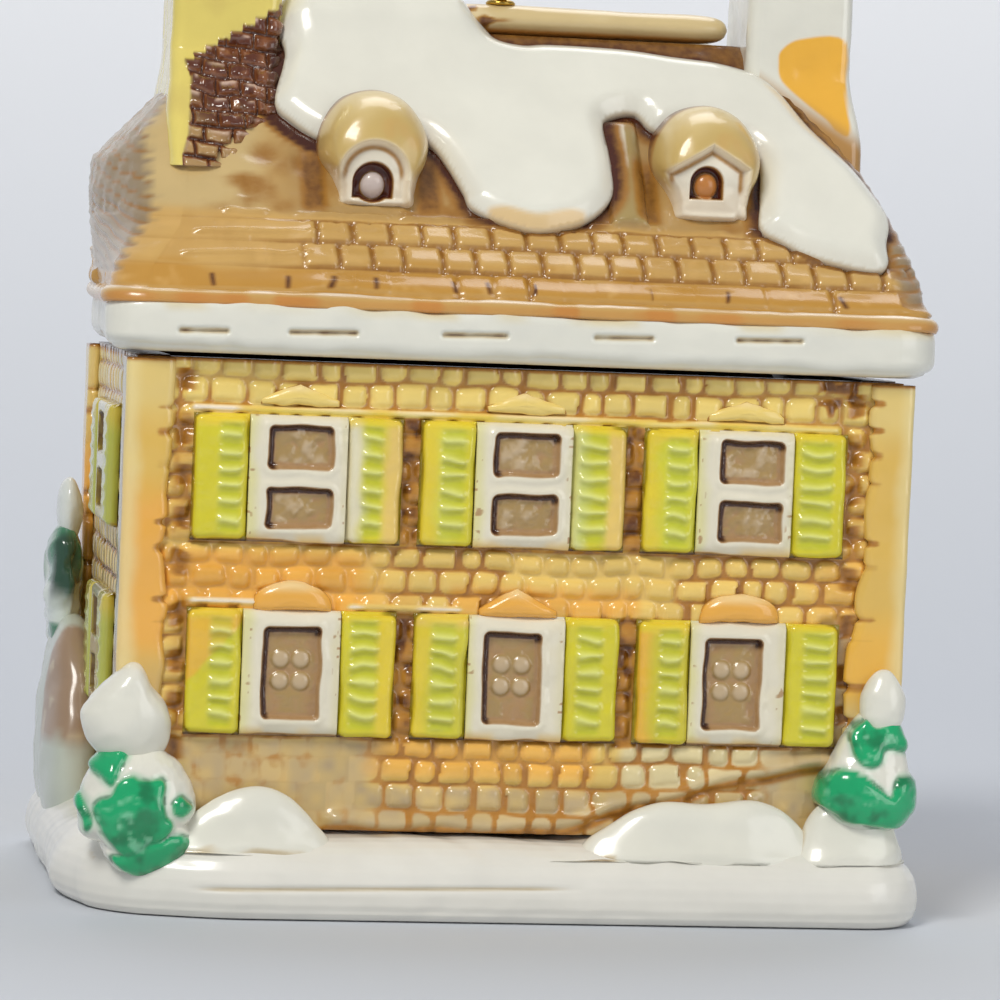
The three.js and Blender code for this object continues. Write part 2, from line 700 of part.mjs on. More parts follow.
// End chimneys: tapered stacks with corbelled brick courses, their skirts run down the hips.
const chimneyFoot = roofFoot + roofRise * 0.35;
const chimneyHead = roofFoot + chimneyTop;
function chimneyRing(x, z, grow) {
  const share = (chimneyHead - z) / (chimneyHead - chimneyFoot);
  const spread = chimneyFlare * share + grow;
  const skirt = chimneySkirt * share ** 2;
  const ring = roundedRing(chimneyWidth / 2 + spread, chimneyDepth / 2 + spread, 1.2, z, 1);
  return ring.map(([px, py, pz]) => [px + x, py < 0 ? py - skirt : py, pz]);
}
function chimney(x, grow = 0) {
  const rings = [];
  const courses = Math.floor((chimneyHead - chimneyFoot) / brickCourse);
  const pitch = (chimneyHead - chimneyFoot) / courses;
  for (let i = 0; i < courses; i++) {
    rings.push(chimneyRing(x, chimneyFoot + i * pitch, grow));
    rings.push(chimneyRing(x, chimneyFoot + (i + 0.84) * pitch, grow + 0.12));
    if (i + 1 < courses) rings.push(chimneyRing(x, chimneyFoot + (i + 0.9) * pitch, grow - 0.1));
  }
  rings.push(chimneyRing(x, chimneyHead, grow));
  return loft(rings);
}
// The snow cap: a soft cushion of snow on the flat top of the stack, as [spread, share of its height].
function chimneyCap(x) {
  const cushion = [
    [-0.4, 0],
    [0.35, 0.3],
    [0.3, 0.6],
    [-0.6, 0.88],
    [-2.2, 1],
  ];
  const rings = cushion.map(([grow, share]) => {
    const z = chimneyHead + seatGap + share * capThickness;
    return shifted(roundedRing(chimneyWidth / 2 + grow, chimneyDepth / 2 + grow, 2.4 + grow / 2, z, 2), x);
  });
  return loft(rings);
}
chimneyXs.forEach((x, i) => {
  const place = ["left", "right"][i];
  addPiece(house, "chimney_" + place, onRoof(chimney(x)), chimneyYellow);
  addPiece(house, "chimney_cap_" + place, chimneyCap(x), snowWhite);
});

// The ridge roll between the chimneys, bored for the hanging eye.
const chimneyAtRidge = chimneyWidth / 2 + chimneyFlare * 0.4 + 2 * seatGap;
const ridgeLeft = chimneyXs[0] + chimneyAtRidge;
const ridgeRight = chimneyXs[1] - chimneyAtRidge;
function ridgeRoll(grow = 0) {
  const half = ridgeHalfDepth + grow;
  const foot = ridgeFoot + seatGap - grow;
  const top = ridgeTop + grow;
  const soft = Math.min(0.6, half / 2);
  const profile = new THREE.Shape();
  profile.moveTo(-half, foot);
  profile.lineTo(half, foot);
  profile.lineTo(half, top - soft);
  profile.quadraticCurveTo(half, top, half - soft, top);
  profile.lineTo(-half + soft, top);
  profile.quadraticCurveTo(-half, top, -half, top - soft);
  const run = ridgeRight - ridgeLeft + 2 * grow;
  return solid(
    new THREE.ExtrudeGeometry(profile, { depth: run, bevelEnabled: false, curveSegments: 3 })
      .rotateX(Math.PI / 2)
      .rotateZ(Math.PI / 2)
      .translate(ridgeLeft - grow, 0, 0),
  );
}
const upright = (radius, length, z, sides = 12) =>
  solid(new THREE.CylinderGeometry(radius, radius, length, sides).rotateX(Math.PI / 2).translate(0, 0, z));
const shankBore = upright(eyeWire / 2 + seatGap, 2 * (eyeShank + seatGap), ridgeTop);
addPiece(house, "ridge_roll", ridgeRoll().subtract(shankBore), hoodBeige);

// A dormer: a gabled box with a sunk arched window, under a thick rounded hood.
const dormerFoot = roofFoot + dormerSill;
const dormerFace = -roofHalfDepth + dormerSill / Math.tan(slopeAngle) - 0.9;
const dormerEave = dormerFoot + dormerWallHeight;
function dormerOutline(x, grow = 0, foot = dormerFoot) {
  const half = dormerWidth / 2 + grow;
  const outline = new THREE.Shape();
  outline.moveTo(x - half, foot);
  outline.lineTo(x + half, foot);
  outline.lineTo(x + half, dormerEave + grow);
  outline.lineTo(x, dormerEave + dormerGable + grow);
  outline.lineTo(x - half, dormerEave + grow);
  return outline;
}
function dormerBody(x) {
  const box = wallPlate(dormerOutline(x), -dormerFace, 0);
  const arch = new THREE.Shape();
  const sill = dormerFoot + 0.8;
  const half = dormerArchWidth / 2;
  arch.moveTo(x - half, sill);
  arch.lineTo(x + half, sill);
  arch.lineTo(x + half, sill + 1);
  arch.absarc(x, sill + 1, half, 0, Math.PI, false);
  const recess = wallPlate(arch, 3, dormerFace + dormerArchDepth);
  return onRoof(box.subtract(recess));
}
function hoodEnvelope(x, grow = 0) {
  const steps = 12;
  const arc = (spread, y) => {
    const r = dormerHoodRadius + spread + grow;
    return Array.from({ length: steps + 1 }, (_, i) => {
      const angle = -0.3 + (i / steps) * (Math.PI + 0.6);
      return [x + r * Math.cos(angle), y, dormerEave - 0.2 + 1.25 * r * Math.sin(angle)];
    });
  };
  const front = dormerFace - 1.1 - grow;
  const lip = [arc(0, front + 0.9), arc(-0.3, front + 0.25), arc(-1, front)];
  return loft([arc(-0.2, 0), arc(0.1, front + 3), ...lip]);
}
dormerXs.forEach((x, i) => {
  const place = ["left", "right"][i];
  addPiece(house, "dormer_" + place, dormerBody(x), frameWhite);
  const room = wallPlate(dormerOutline(x, seatGap, roofFoot), houseDepth, halfDepth / 2);
  addPiece(house, "dormer_hood_" + place, onRoof(hoodEnvelope(x).subtract(room)), hoodBeige);
});

// Snow over the left part of the ridge: an arch that thins towards its ends, as [share of run, scale].
function ridgeDrift(grow = 0) {
  const from = ridgeLeft + seatGap - grow;
  const to = grow - eyeFlangeDiameter / 2 - ridgeDriftRoom;
  const foot = ridgeFoot - ridgeHeight;
  const swell = [
    [0, 0.82],
    [0.08, 0.93],
    [0.3, 1],
    [0.75, 0.97],
    [0.93, 0.91],
    [1, 0.8],
  ];
  const rings = swell.map(([share, scale]) =>
    Array.from({ length: 11 }, (_, i) => {
      const angle = (i / 10) * Math.PI;
      const halfDepthHere = ridgeDriftHalfDepth * scale + grow;
      const height = (ridgeTop + ridgeDriftHeight - foot) * scale + grow;
      const x = from + (to - from) * share;
      return [x, halfDepthHere * Math.cos(angle), foot - grow + height * Math.sin(angle) ** 0.8];
    }),
  );
  return loft(rings);
}
const ridgeDriftPiece = onRoof(ridgeDrift().subtract(ridgeRoll(seatGap)));
addPiece(house, "ridge_drift", ridgeDriftPiece, snowWhite);

// A sheet of snow on the front slope, with soft edges: its outline is drawn in the slope
// (across, share of the rise).
const slopeLength = Math.hypot(frontRun, roofRise);
const sunk = 1; // how far the uncut sheet reaches into the roof
function slopeSheet(outline) {
  const options = {
    depth: snowThickness + sunk - 2 * snowEdge,
    bevelEnabled: true,
    bevelThickness: snowEdge,
    bevelSize: snowEdge,
    bevelOffset: -snowEdge,
    bevelSegments: 2,
    curveSegments: 2,
  };
  return solid(
    new THREE.ExtrudeGeometry(outline, options)
      .translate(0, 0, snowEdge - sunk)
      .rotateX(slopeAngle)
      .translate(0, -roofHalfDepth, roofFoot),
  );
}
const slopePoint = ([x, share]) => new THREE.Vector2(x, share * slopeLength);
const hipAt = (share) => roofHalves(share * roofRise)[0];

// The front sheet: a notch by the left chimney, a lobe between the dormers, a bare patch and a long
// right hand tongue.
function frontSnowOutline() {
  const [leftDormer, rightDormer] = dormerXs;
  const lobeLeft = leftDormer + dormerHoodRadius + lobeRoom[0];
  const lobeRight = rightDormer - dormerHoodRadius - lobeRoom[1];
  const outline = new THREE.Shape();
  outline.moveTo(...slopePoint([ridgeLeft, 0.98]).toArray());
  outline.splineThru(
    [
      [ridgeLeft + 0.1, 0.8],
      [ridgeLeft + 1.6, 0.64],
      [leftDormer, 0.62],
      [lobeLeft - 0.9, 0.56],
      [lobeLeft + 1.4, 0.38],
      [(lobeLeft + lobeRight) / 2, 0.335],
      [lobeRight - 1, 0.39],
      [lobeRight + 0.2, 0.52],
      [lobeRight + 0.6, 0.68],
    ].map(slopePoint),
  );
  outline.splineThru(
    [
      [rightDormer - dormerHoodRadius, 0.72],
      [rightDormer, 0.7],
      [rightDormer + dormerHoodRadius + 0.4, 0.55],
      [rightDormer + dormerHoodRadius + 1, 0.36],
      [hipAt(0.25) - 6.4, 0.26],
      [hipAt(0.22) - 2.6, 0.215],
      [hipAt(0.3) - 0.6, 0.3],
      [hipAt(0.5) - 0.4, 0.5],
      [hipAt(0.75) - 0.5, 0.75],
    ].map(slopePoint),
  );
  outline.lineTo(...slopePoint([ridgeRight, 0.98]).toArray());
  return outline;
}
const fixtures = [
  ridgeDrift(seatGap),
  ...chimneyXs.map((x) => chimney(x, 1.5 * seatGap)),
  ...dormerXs.flatMap((x) => [
    hoodEnvelope(x, seatGap),
    wallPlate(dormerOutline(x, seatGap, roofFoot), -dormerFace + seatGap, 0),
  ]),
];
const clearOf = (piece, others) => mainBody(others.reduce((left, other) => left.subtract(other), piece));
addPiece(house, "roof_snow_front", onRoof(clearOf(slopeSheet(frontSnowOutline()), fixtures)), snowWhite);

// The back sheet: three round lobes under a straight top.
function backSnowOutline() {
  const reach = hipAt(0.45) - 2;
  const lobes = 3;
  const outline = new THREE.Shape();
  outline.moveTo(...slopePoint([-ridgeRight, 0.98]).toArray());
  outline.lineTo(...slopePoint([-reach, 0.5]).toArray());
  for (let i = 0; i < lobes; i++) {
    const from = -reach + (2 * reach * i) / lobes;
    const to = -reach + (2 * reach * (i + 1)) / lobes;
    const dip = [0.26, 0.34, 0.22][i];
    outline.bezierCurveTo(
      ...slopePoint([from + 1, dip]).toArray(),
      ...slopePoint([to - 1, dip]).toArray(),
      ...slopePoint([to, i + 1 < lobes ? 0.45 : 0.5]).toArray(),
    );
  }
  outline.lineTo(...slopePoint([-ridgeLeft, 0.98]).toArray());
  return outline;
}
const backSheet = slopeSheet(backSnowOutline()).rotate([0, 0, 180]);
addPiece(house, "roof_snow_back", onRoof(clearOf(backSheet, fixtures.slice(0, 3))), snowWhite);

// Snow and trees round the foot of the walls are cut to the base and to what stands out from the walls.
const ground = baseEnvelope(seatGap);
const wallFace = stoneProud + seatGap;
const keepOutHeight = 2 * wallTop;
const wallKeepOut = joinAll([
  block(houseWidth + 2 * wallFace, houseDepth + 2 * wallFace, keepOutHeight),
  ...corners.map(([, signX, signY]) =>
    cornerPost(signX, signY, pilasterWidth + quoinReach, 0, wallTop, seatGap),
  ),
]);
const shutterFace = shutterThickness + 2 * seatGap;
const windowKeepOut = block(houseWidth + 2 * shutterFace, houseDepth + 2 * shutterFace, keepOutHeight);

// Pines: tiers of boughs, drawn into points, as [share of the height, share of the spread] pairs.
const boughPull = 0.13; // how far the points of a bough stand out, as a share of its radius
function pine(tree, tiers, points, pull = boughPull, grow = 0) {
  const [x, y] = tree.at;
  const [scaleX, scaleY] = tree.scale;
  const perPoint = 4;
  const rings = tiers.map(([rise, share], tier) =>
    Array.from({ length: points * perPoint }, (_, i) => {
      const angle = (i / (points * perPoint)) * 2 * Math.PI;
      const r = tree.spread * share * (1 + pull * Math.cos(points * angle + tier * 0.5)) + grow;
      const z = tree.foot + tree.height * rise;
      return [x + r * scaleX * Math.cos(angle), y + r * scaleY * Math.sin(angle), z];
    }),
  );
  return loft(rings);
}
const pines = {
  front_left: {
    at: [0.8 - halfWidth, -halfDepth - 0.3],
    foot: baseEdgeHeight + 0.2,
    height: pineHeights.front_left,
    spread: pineSpreads.front_left,
    scale: [1.2, 0.9],
    boughs: [[0, 0.63], [0.077, 1], [0.295, 0.82], [0.32, 0.95], [0.538, 0.53]],
    snow: [[0.552, 0.58], [0.63, 0.74], [0.756, 0.55], [0.885, 0.29], [1, 0.1]],
  },
  front_right: {
    at: [halfWidth - 0.7, -halfDepth - 0.9],
    foot: baseHeight,
    height: pineHeights.front_right,
    spread: pineSpreads.front_right,
    scale: [1, 0.92],
    boughs: [[0, 0.79], [0.076, 1], [0.275, 0.67], [0.3, 0.91], [0.52, 0.58], [0.54, 0.76], [0.778, 0.39]],
    snow: [[0.794, 0.45], [0.855, 0.48], [0.94, 0.3], [1, 0.09]],
  },
  rear_left: {
    at: [-halfWidth - 1.6, halfDepth - 4.5],
    foot: baseHeight + rearBankSize[2] * 0.71,
    height: pineHeights.rear_left,
    spread: pineSpreads.rear_left,
    scale: [0.85, 1.3],
    boughs: [[0, 0.77], [0.12, 1], [0.373, 0.65], [0.396, 0.885], [0.731, 0.42]],
    snow: [[0.746, 0.5], [0.82, 0.54], [0.925, 0.31], [1, 0.115]],
  },
};
// The smooth room that a pine's boughs take, with a gap round it.
const pineRoom = (tree) => {
  const wide = tree.boughs.map(([rise, share]) => [rise, share * (1 + boughPull)]);
  const [low, high] = [wide[0], wide.at(-1)];
  const tiers = [[low[0] - 0.07, low[1]], ...wide, [high[0] + 0.07, high[1]]];
  return pine(tree, tiers, 5, 0, 2 * seatGap);
};

// Banks of snow against the walls: soft mounds, cut by each other in turn.
const frontBank = ([width, height], x, reach, rise = 0) => ({
  radii: [width / 2, reach, height],
  at: [x, reach - baseHalfDepth + 0.4, baseHeight + rise],
});
const bankReach = baseOverhangFront - 1.3;
const frontLeftBankX = bankSizes.front_left[0] / 2 + 4.5 - halfWidth;
const frontRightBankX = halfWidth - bankSizes.front_right[0] / 2 - 6.4;
const mounds = {
  front_left: frontBank(bankSizes.front_left, frontLeftBankX, bankReach, -0.1),
  front_right: frontBank(bankSizes.front_right, frontRightBankX, bankReach - 0.1),
  corner_right: frontBank(bankSizes.corner_right, halfWidth - 3.4, bankReach - 0.6),
  rear_left: {
    radii: [rearBankSize[0] / 2, rearBankSize[1] / 2, rearBankSize[2]],
    at: [-halfWidth - 0.9, halfDepth + 2 - rearBankSize[1] / 2, baseHeight - 0.6],
  },
};
const moundCuts = {
  front_left: [pineRoom(pines.front_left)],
  front_right: [ball(mounds.corner_right.radii, mounds.corner_right.at, seatGap)],
  corner_right: [pineRoom(pines.front_right)],
  rear_left: [],
};
for (const [place, { radii, at }] of Object.entries(mounds)) {
  const cutters = [ground, place === "rear_left" ? windowKeepOut : wallKeepOut, ...moundCuts[place]];
  addPiece(house, "drift_" + place, clearOf(ball(radii, at), cutters), snowWhite);
}
for (const [place, tree] of Object.entries(pines)) {
  const bank = ball(mounds.rear_left.radii, mounds.rear_left.at, seatGap);
  const cutters = place === "rear_left" ? [ground, windowKeepOut, bank] : [ground, wallKeepOut];
  addPiece(house, "pine_" + place, clearOf(pine(tree, tree.boughs, 5), cutters), pineGreen);
  addPiece(house, "pine_snow_" + place, clearOf(pine(tree, tree.snow, 3), cutters), snowWhite);
}

// The brass hanging eye in the ridge, its loop across the roof, and the wire ring that swings in it.
const eyeFlange = 0.5;
const loopCentre = ridgeTop + eyeFlange + eyeLoopRadius;
const eyeLoop = solid(new THREE.TorusGeometry(eyeLoopRadius, eyeWire / 2, 7, 16).rotateY(Math.PI / 2));
const eye = joinAll([
  eyeLoop.translate([0, 0, loopCentre]),
  upright(eyeFlangeDiameter / 2, eyeFlange, ridgeTop + eyeFlange / 2),
  upright(eyeWire / 2, eyeShank + eyeFlange, ridgeTop + (eyeFlange - eyeShank) / 2, 8),
]);
addPiece(house, "hanging_eye", eye, brass);
const swingHeight = loopCentre + eyeLoopRadius - eyeWire / 2 - ringWire / 2 - ringPlay;
const ring = new THREE.TorusGeometry(ringRadius, ringWire / 2, 7, 24).rotateX(Math.PI / 2);
addPiece(house, "hanging_ring", solid(ring.translate(0, 0, swingHeight + ringRadius)), brass);

export default ornament;
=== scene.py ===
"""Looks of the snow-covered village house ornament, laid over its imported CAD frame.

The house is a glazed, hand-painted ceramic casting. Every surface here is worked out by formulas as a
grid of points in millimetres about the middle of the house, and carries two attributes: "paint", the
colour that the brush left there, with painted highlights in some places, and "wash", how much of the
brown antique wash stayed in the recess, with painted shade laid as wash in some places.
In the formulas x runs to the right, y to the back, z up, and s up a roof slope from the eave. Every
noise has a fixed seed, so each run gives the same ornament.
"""

import logging
import math
from dataclasses import dataclass, replace
from enum import Enum
from typing import Callable, Sequence

import bpy  # noqa: E402
import numpy as np  # noqa: E402
from mathutils import Matrix, Vector  # noqa: E402

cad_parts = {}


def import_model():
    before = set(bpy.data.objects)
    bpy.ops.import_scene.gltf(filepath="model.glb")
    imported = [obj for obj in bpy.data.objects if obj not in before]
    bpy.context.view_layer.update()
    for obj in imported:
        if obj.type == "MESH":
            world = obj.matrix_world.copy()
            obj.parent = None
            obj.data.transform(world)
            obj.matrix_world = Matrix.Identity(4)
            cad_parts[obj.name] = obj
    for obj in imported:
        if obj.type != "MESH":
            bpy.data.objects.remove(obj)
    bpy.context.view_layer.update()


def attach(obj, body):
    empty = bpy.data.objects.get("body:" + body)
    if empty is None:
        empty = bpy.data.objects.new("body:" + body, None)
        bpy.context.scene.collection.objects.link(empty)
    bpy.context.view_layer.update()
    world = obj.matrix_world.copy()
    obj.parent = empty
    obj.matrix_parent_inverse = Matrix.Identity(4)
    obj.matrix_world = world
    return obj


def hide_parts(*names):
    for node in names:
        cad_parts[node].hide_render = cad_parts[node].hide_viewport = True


LOG = logging.getLogger("ornament")
MM = 0.001
HOUSE_SHIFT = 0.75  # mm from the middle of the base to the middle of the house, along X
HOUSE = "house"
RING = "ring"
TABLE = 4096  # how many seeded numbers the stones and tiles draw from
Array = np.ndarray
Colour = tuple[float, float, float]  # as it shows on a screen, 0 to 255; linear ones go from 0 to 1
Paint = Callable[["Canvas", Array, Array], None]
Shape = Callable[[Array, Array], Array]


# plain maths on whole arrays


def smooth(low: float, high: float, value: Array) -> Array:
    """Smoothstep: 0 at low, 1 at high, 3t^2 - 2t^3 between."""
    t = np.clip((value - low) / (high - low), 0.0, 1.0)
    return t * t * (3.0 - 2.0 * t)


def between(value: Array, a: float, b: float, c: float, d: float) -> Array:
    """Rises from 0 at a to 1 at b and falls from 1 at c to 0 at d: two smoothsteps multiplied."""
    return smooth(a, b, value) * smooth(d, c, value)


def bell(value: Array, width: float) -> Array:
    """Bell curve: exp(-(value / width)^2)."""
    return np.exp(-((value / width) ** 2))


def dome(value: Array) -> Array:
    """Quarter circle: sqrt(1 - value^2), and 0 past its end."""
    return np.sqrt(np.maximum(1 - value**2, 0))


def pillow(distance: Array, soft: float) -> Array:
    """Rounded edge: 0 outside (distance > 0), then a quarter circle up to 1 at depth soft inside."""
    return dome(1 - np.clip(-distance / soft, 0.0, 1.0))


def xyz(x: Array | float, y: Array | float, z: Array | float) -> Array:
    """Points from their three coordinates, each spread over the others' shape."""
    return np.stack(np.broadcast_arrays(x, y, z), -1)


def split(points: Array) -> tuple[Array, Array, Array]:
    """The x, y and z of points, as views."""
    return tuple(points[..., i] for i in range(3))


def box_distance(x: Array, z: Array, centre: Sequence[float], half: Sequence[float], corner: float) -> Array:
    """Signed distance to a rectangle with rounded corners, negative inside.

    Args:
        x, z: coordinates in mm.
        centre, half: its middle and half sizes.
        corner: corner radius.

    Returns:
        |max(q, 0)| + min(max(qx, qz), 0) - corner, with q = |p - centre| - half + corner.
    """
    qx = np.abs(x - centre[0]) - half[0] + corner
    qz = np.abs(z - centre[1]) - half[1] + corner
    return np.hypot(np.maximum(qx, 0), np.maximum(qz, 0)) + np.minimum(np.maximum(qx, qz), 0) - corner


def spot(x: Array, z: Array, centre: Sequence[float], half: Sequence[float], soft: float = 0.5) -> Array:
    """1 inside a soft-edged rectangle, 0 outside; its corners are rounded by 0.4 of the smaller half size."""
    return 1 - smooth(-soft, soft, box_distance(x, z, centre, half, min(half) * 0.4))


def noise(x: Array, y: Array, size: float, seed: int) -> Array:
    """Value noise from -1 to 1: seeded lattice values, mixed by smoothstep weights, cells size mm wide."""
    table = np.random.default_rng(seed).uniform(-1.0, 1.0, (64, 64))
    fx, fy = x / size + 1000.5, y / size + 1000.5
    ix, iy = np.floor(fx).astype(int), np.floor(fy).astype(int)
    tx, ty = fx - ix, fy - iy
    tx, ty = tx * tx * (3 - 2 * tx), ty * ty * (3 - 2 * ty)
    a, b = table[ix % 64, iy % 64], table[(ix + 1) % 64, iy % 64]
    c, d = table[ix % 64, (iy + 1) % 64], table[(ix + 1) % 64, (iy + 1) % 64]
    return (a * (1 - tx) + b * tx) * (1 - ty) + (c * (1 - tx) + d * tx) * ty


def rough(x: Array, y: Array, size: float, seed: int) -> Array:
    """Three octaves of value noise, each half as wide and half as strong as the one before."""
    return sum(noise(x, y, size / 2**i, seed + i) * 0.5**i for i in range(3)) / 1.75


def linear(colour: Colour) -> Colour:
    """A screen colour as the linear shares that light adds up in: (c / 255)^2.2."""
    return tuple(float(v) for v in (np.array(colour) / 255.0) ** 2.2)


@dataclass(frozen=True)
class Outline:
    """A closed outline through a few points, rounded by a Catmull-Rom curve.

    Args:
        points: its control points in mm, in order.
        steps: how many straight runs stand for each span.
    """

    points: tuple[tuple[float, float], ...]
    steps: int = 5

    def curve(self) -> Array:
        """The rounded polygon: on each span, the cubic through p1 and p2 with slopes (p2-p0)/2, (p3-p1)/2."""
        p = np.array(self.points)
        a, b, c, d = (np.roll(p, shift, 0)[:, None, :] for shift in (1, 0, -1, -2))
        t = (np.arange(self.steps) / self.steps)[None, :, None]
        cubic = 2 * b + (c - a) * t + (2 * a - 5 * b + 4 * c - d) * t**2 + (3 * b - a - 3 * c + d) * t**3
        return (0.5 * cubic).reshape(-1, 2)

    def distance(self, x: Array, y: Array) -> Array:
        """Signed distance from each point to the outline, negative inside.

        It is the least distance to any side; a point is inside where an odd number of sides cross the
        line that runs from it to the left.
        """
        polygon = self.curve()
        nearest = np.full(x.shape, 1e9)
        inside = np.zeros(x.shape, bool)
        for (ax, ay), (bx, by) in zip(polygon, np.roll(polygon, -1, 0)):
            ex, ey = bx - ax, by - ay
            t = np.clip(((x - ax) * ex + (y - ay) * ey) / (ex * ex + ey * ey + 1e-12), 0, 1)
            nearest = np.minimum(nearest, (x - ax - t * ex) ** 2 + (y - ay - t * ey) ** 2)
            crosses = (ay > y) != (by > y)
            inside ^= crosses & (x < ax + (y - ay) * ex / (ey if abs(ey) > 1e-9 else 1e-9))
        return np.where(inside, -1.0, 1.0) * np.sqrt(nearest)


class Canvas:
    """Paint and wash over one grid, laid on in coats."""

    def __init__(self, shape: tuple[int, ...], ground: Colour) -> None:
        """Starts with one plain coat of the ground colour and no wash."""
        self.paint = np.ones(shape + (3,)) * np.array(linear(ground))
        self.wash = np.zeros(shape)

    def coat(self, *layers: tuple[Colour, Array | float]) -> None:
        """Lays colours in order over what is there, each one: paint + (colour - paint) * cover."""
        for colour, cover in layers:
            cover = np.broadcast_to(cover, self.wash.shape)
            self.paint += (np.array(linear(colour)) - self.paint) * np.clip(cover, 0, 1)[..., None]

    def wash_and_shade(self, *amounts: Array | float) -> None:
        """Leaves at least each of these amounts of wash; in some places the amount is painted shade, laid in the
        wash's colours.
        """
        for amount in amounts:
            self.wash = np.maximum(self.wash, np.clip(amount, 0, 1))

    def shade(self, factor: Array) -> None:
        """Multiplies the paint."""
        self.paint *= factor[..., None]

    def take(self, index: Array) -> None:
        """Keeps the given cells, numbered row by row, in the given order and shape."""
        self.paint, self.wash = self.paint.reshape(-1, 3)[index], self.wash.reshape(-1)[index]


# closed meshes from grids


def numbers(rows: int, columns: int) -> Array:
    """Point numbers of a grid, row by row."""
    return np.arange(rows * columns).reshape(rows, columns)


def grid_quads(rows: int, columns: int, wrap: bool) -> Array:
    """Quads over a grid of points numbered row by row; the last column joins the first where it wraps."""
    number = numbers(rows, columns)
    after = np.roll(number, -1, 1)
    if not wrap:
        number, after = number[:, :-1], after[:, :-1]
    return np.stack([number[:-1], after[:-1], after[1:], number[1:]], -1).reshape(-1, 4)


def sewn(edge: Array, other: Array) -> Array:
    """A closed band of quads from one loop of point numbers to another."""
    return np.stack([edge, other, np.roll(other, -1), np.roll(edge, -1)], -1)


def build_mesh(name: str, points: Array, quads: Array, caps: list[Array], canvas: Canvas) -> bpy.types.Object:
    """Makes a smooth-shaded mesh object at the origin from arrays.

    Args:
        name: the piece's name.
        points: (n, 3) in mm about the middle of the house.
        quads: (m, 4) point numbers.
        caps: point numbers of any larger faces.
        canvas: paint and wash, one for each point.

    Returns:
        The linked object.
    """
    mesh = bpy.data.meshes.new(name)
    place = (points + np.array([HOUSE_SHIFT, 0, 0])) * MM
    loops = np.concatenate([quads.reshape(-1), *caps])
    sizes = np.concatenate([np.full(len(quads), 4), [len(cap) for cap in caps]]).astype(int)
    mesh.vertices.add(len(place))
    mesh.vertices.foreach_set("co", place.astype(np.float32).reshape(-1))
    mesh.loops.add(len(loops))
    mesh.loops.foreach_set("vertex_index", loops.astype(np.int32))
    mesh.polygons.add(len(sizes))
    mesh.polygons.foreach_set("loop_start", (np.cumsum(sizes) - sizes).astype(np.int32))
    mesh.update(calc_edges=True)
    mesh.validate()
    mesh.shade_smooth()
    colours = np.ones((len(place), 4), np.float32)
    colours[:, :3] = canvas.paint.reshape(-1, 3)
    paint = mesh.color_attributes.new("paint", "FLOAT_COLOR", "POINT")
    paint.data.foreach_set("color", colours.reshape(-1))
    wash = mesh.attributes.new("wash", "FLOAT", "POINT")
    wash.data.foreach_set("value", canvas.wash.reshape(-1).astype(np.float32))
    return placed(name, mesh)


def placed(name: str, data: bpy.types.ID) -> bpy.types.Object:
    """Links a new object with this mesh, lamp or lens to the scene."""
    thing = bpy.data.objects.new(name, data)
    bpy.context.scene.collection.objects.link(thing)
    return thing


def loft(name: str, rings: Array, canvas: Canvas, closed: bool = False) -> bpy.types.Object:
    """A skin over rings that run anticlockwise seen from the last one's side.

    Args:
        name: the piece's name.
        rings: (rows, columns, 3) points.
        canvas: paint and wash of the grid.
        closed: joins the last ring to the first, as a tube round a hole; otherwise both ends are capped.
    """
    number = numbers(*rings.shape[:2])
    quads = grid_quads(*rings.shape[:2], True)
    caps = [number[0, ::-1], number[-1]]
    if closed:
        last, first = number[-1], number[0]
        quads = np.concatenate([quads, np.stack([last, np.roll(last, -1), np.roll(first, -1), first], -1)])
        caps = []
    return build_mesh(name, rings.reshape(-1, 3), quads, caps, canvas)


def blanket(name: str, top: Array, bottom: Array, keep: Array, canvas: Canvas) -> bpy.types.Object:
    """A sheet of uneven outline: the kept cells of two grids, sewn together round their edge.

    Args:
        name: the piece's name.
        top, bottom: (rows, columns, 3) points of its two faces.
        keep: (rows - 1, columns - 1) which cells it has.
        canvas: paint and wash of the top, used for both faces.
    """
    rows, columns = top.shape[:2]
    quads = grid_quads(rows, columns, False)[keep.reshape(-1)]
    count = rows * columns
    edges = np.concatenate([quads[:, [i, (i + 1) % 4]] for i in range(4)])
    rim = edges[~np.isin(edges[:, 0] * count + edges[:, 1], edges[:, 1] * count + edges[:, 0])]
    sides = np.stack([rim[:, 0], rim[:, 0] + count, rim[:, 1] + count, rim[:, 1]], -1)
    used, faces = np.unique(np.concatenate([quads, quads[:, ::-1] + count, sides]), return_inverse=True)
    points = np.concatenate([top.reshape(-1, 3), bottom.reshape(-1, 3)])[used]
    canvas.take(used % count)
    return build_mesh(name, points, faces.reshape(-1, 4), [], canvas)


def puffed(points: Array, height: Array) -> Array:
    """Moves each point of a closed ring grid along its normal: p + h * (dp/du x dp/dv) / |...|."""
    normal = np.cross(np.roll(points, -1, 1) - np.roll(points, 1, 1), np.gradient(points, axis=0))
    length = np.linalg.norm(normal, axis=-1, keepdims=True)
    return points + normal / np.maximum(length, 1e-9) * height[..., None]


def turned(points: Array, quarter: int) -> Array:
    """Turns points about Z by quarters of a turn, anticlockwise from above."""
    c, s = round(math.cos(quarter * math.pi / 2)), round(math.sin(quarter * math.pi / 2))
    x, y, z = split(points)
    return xyz(c * x - s * y, s * x + c * y, z)


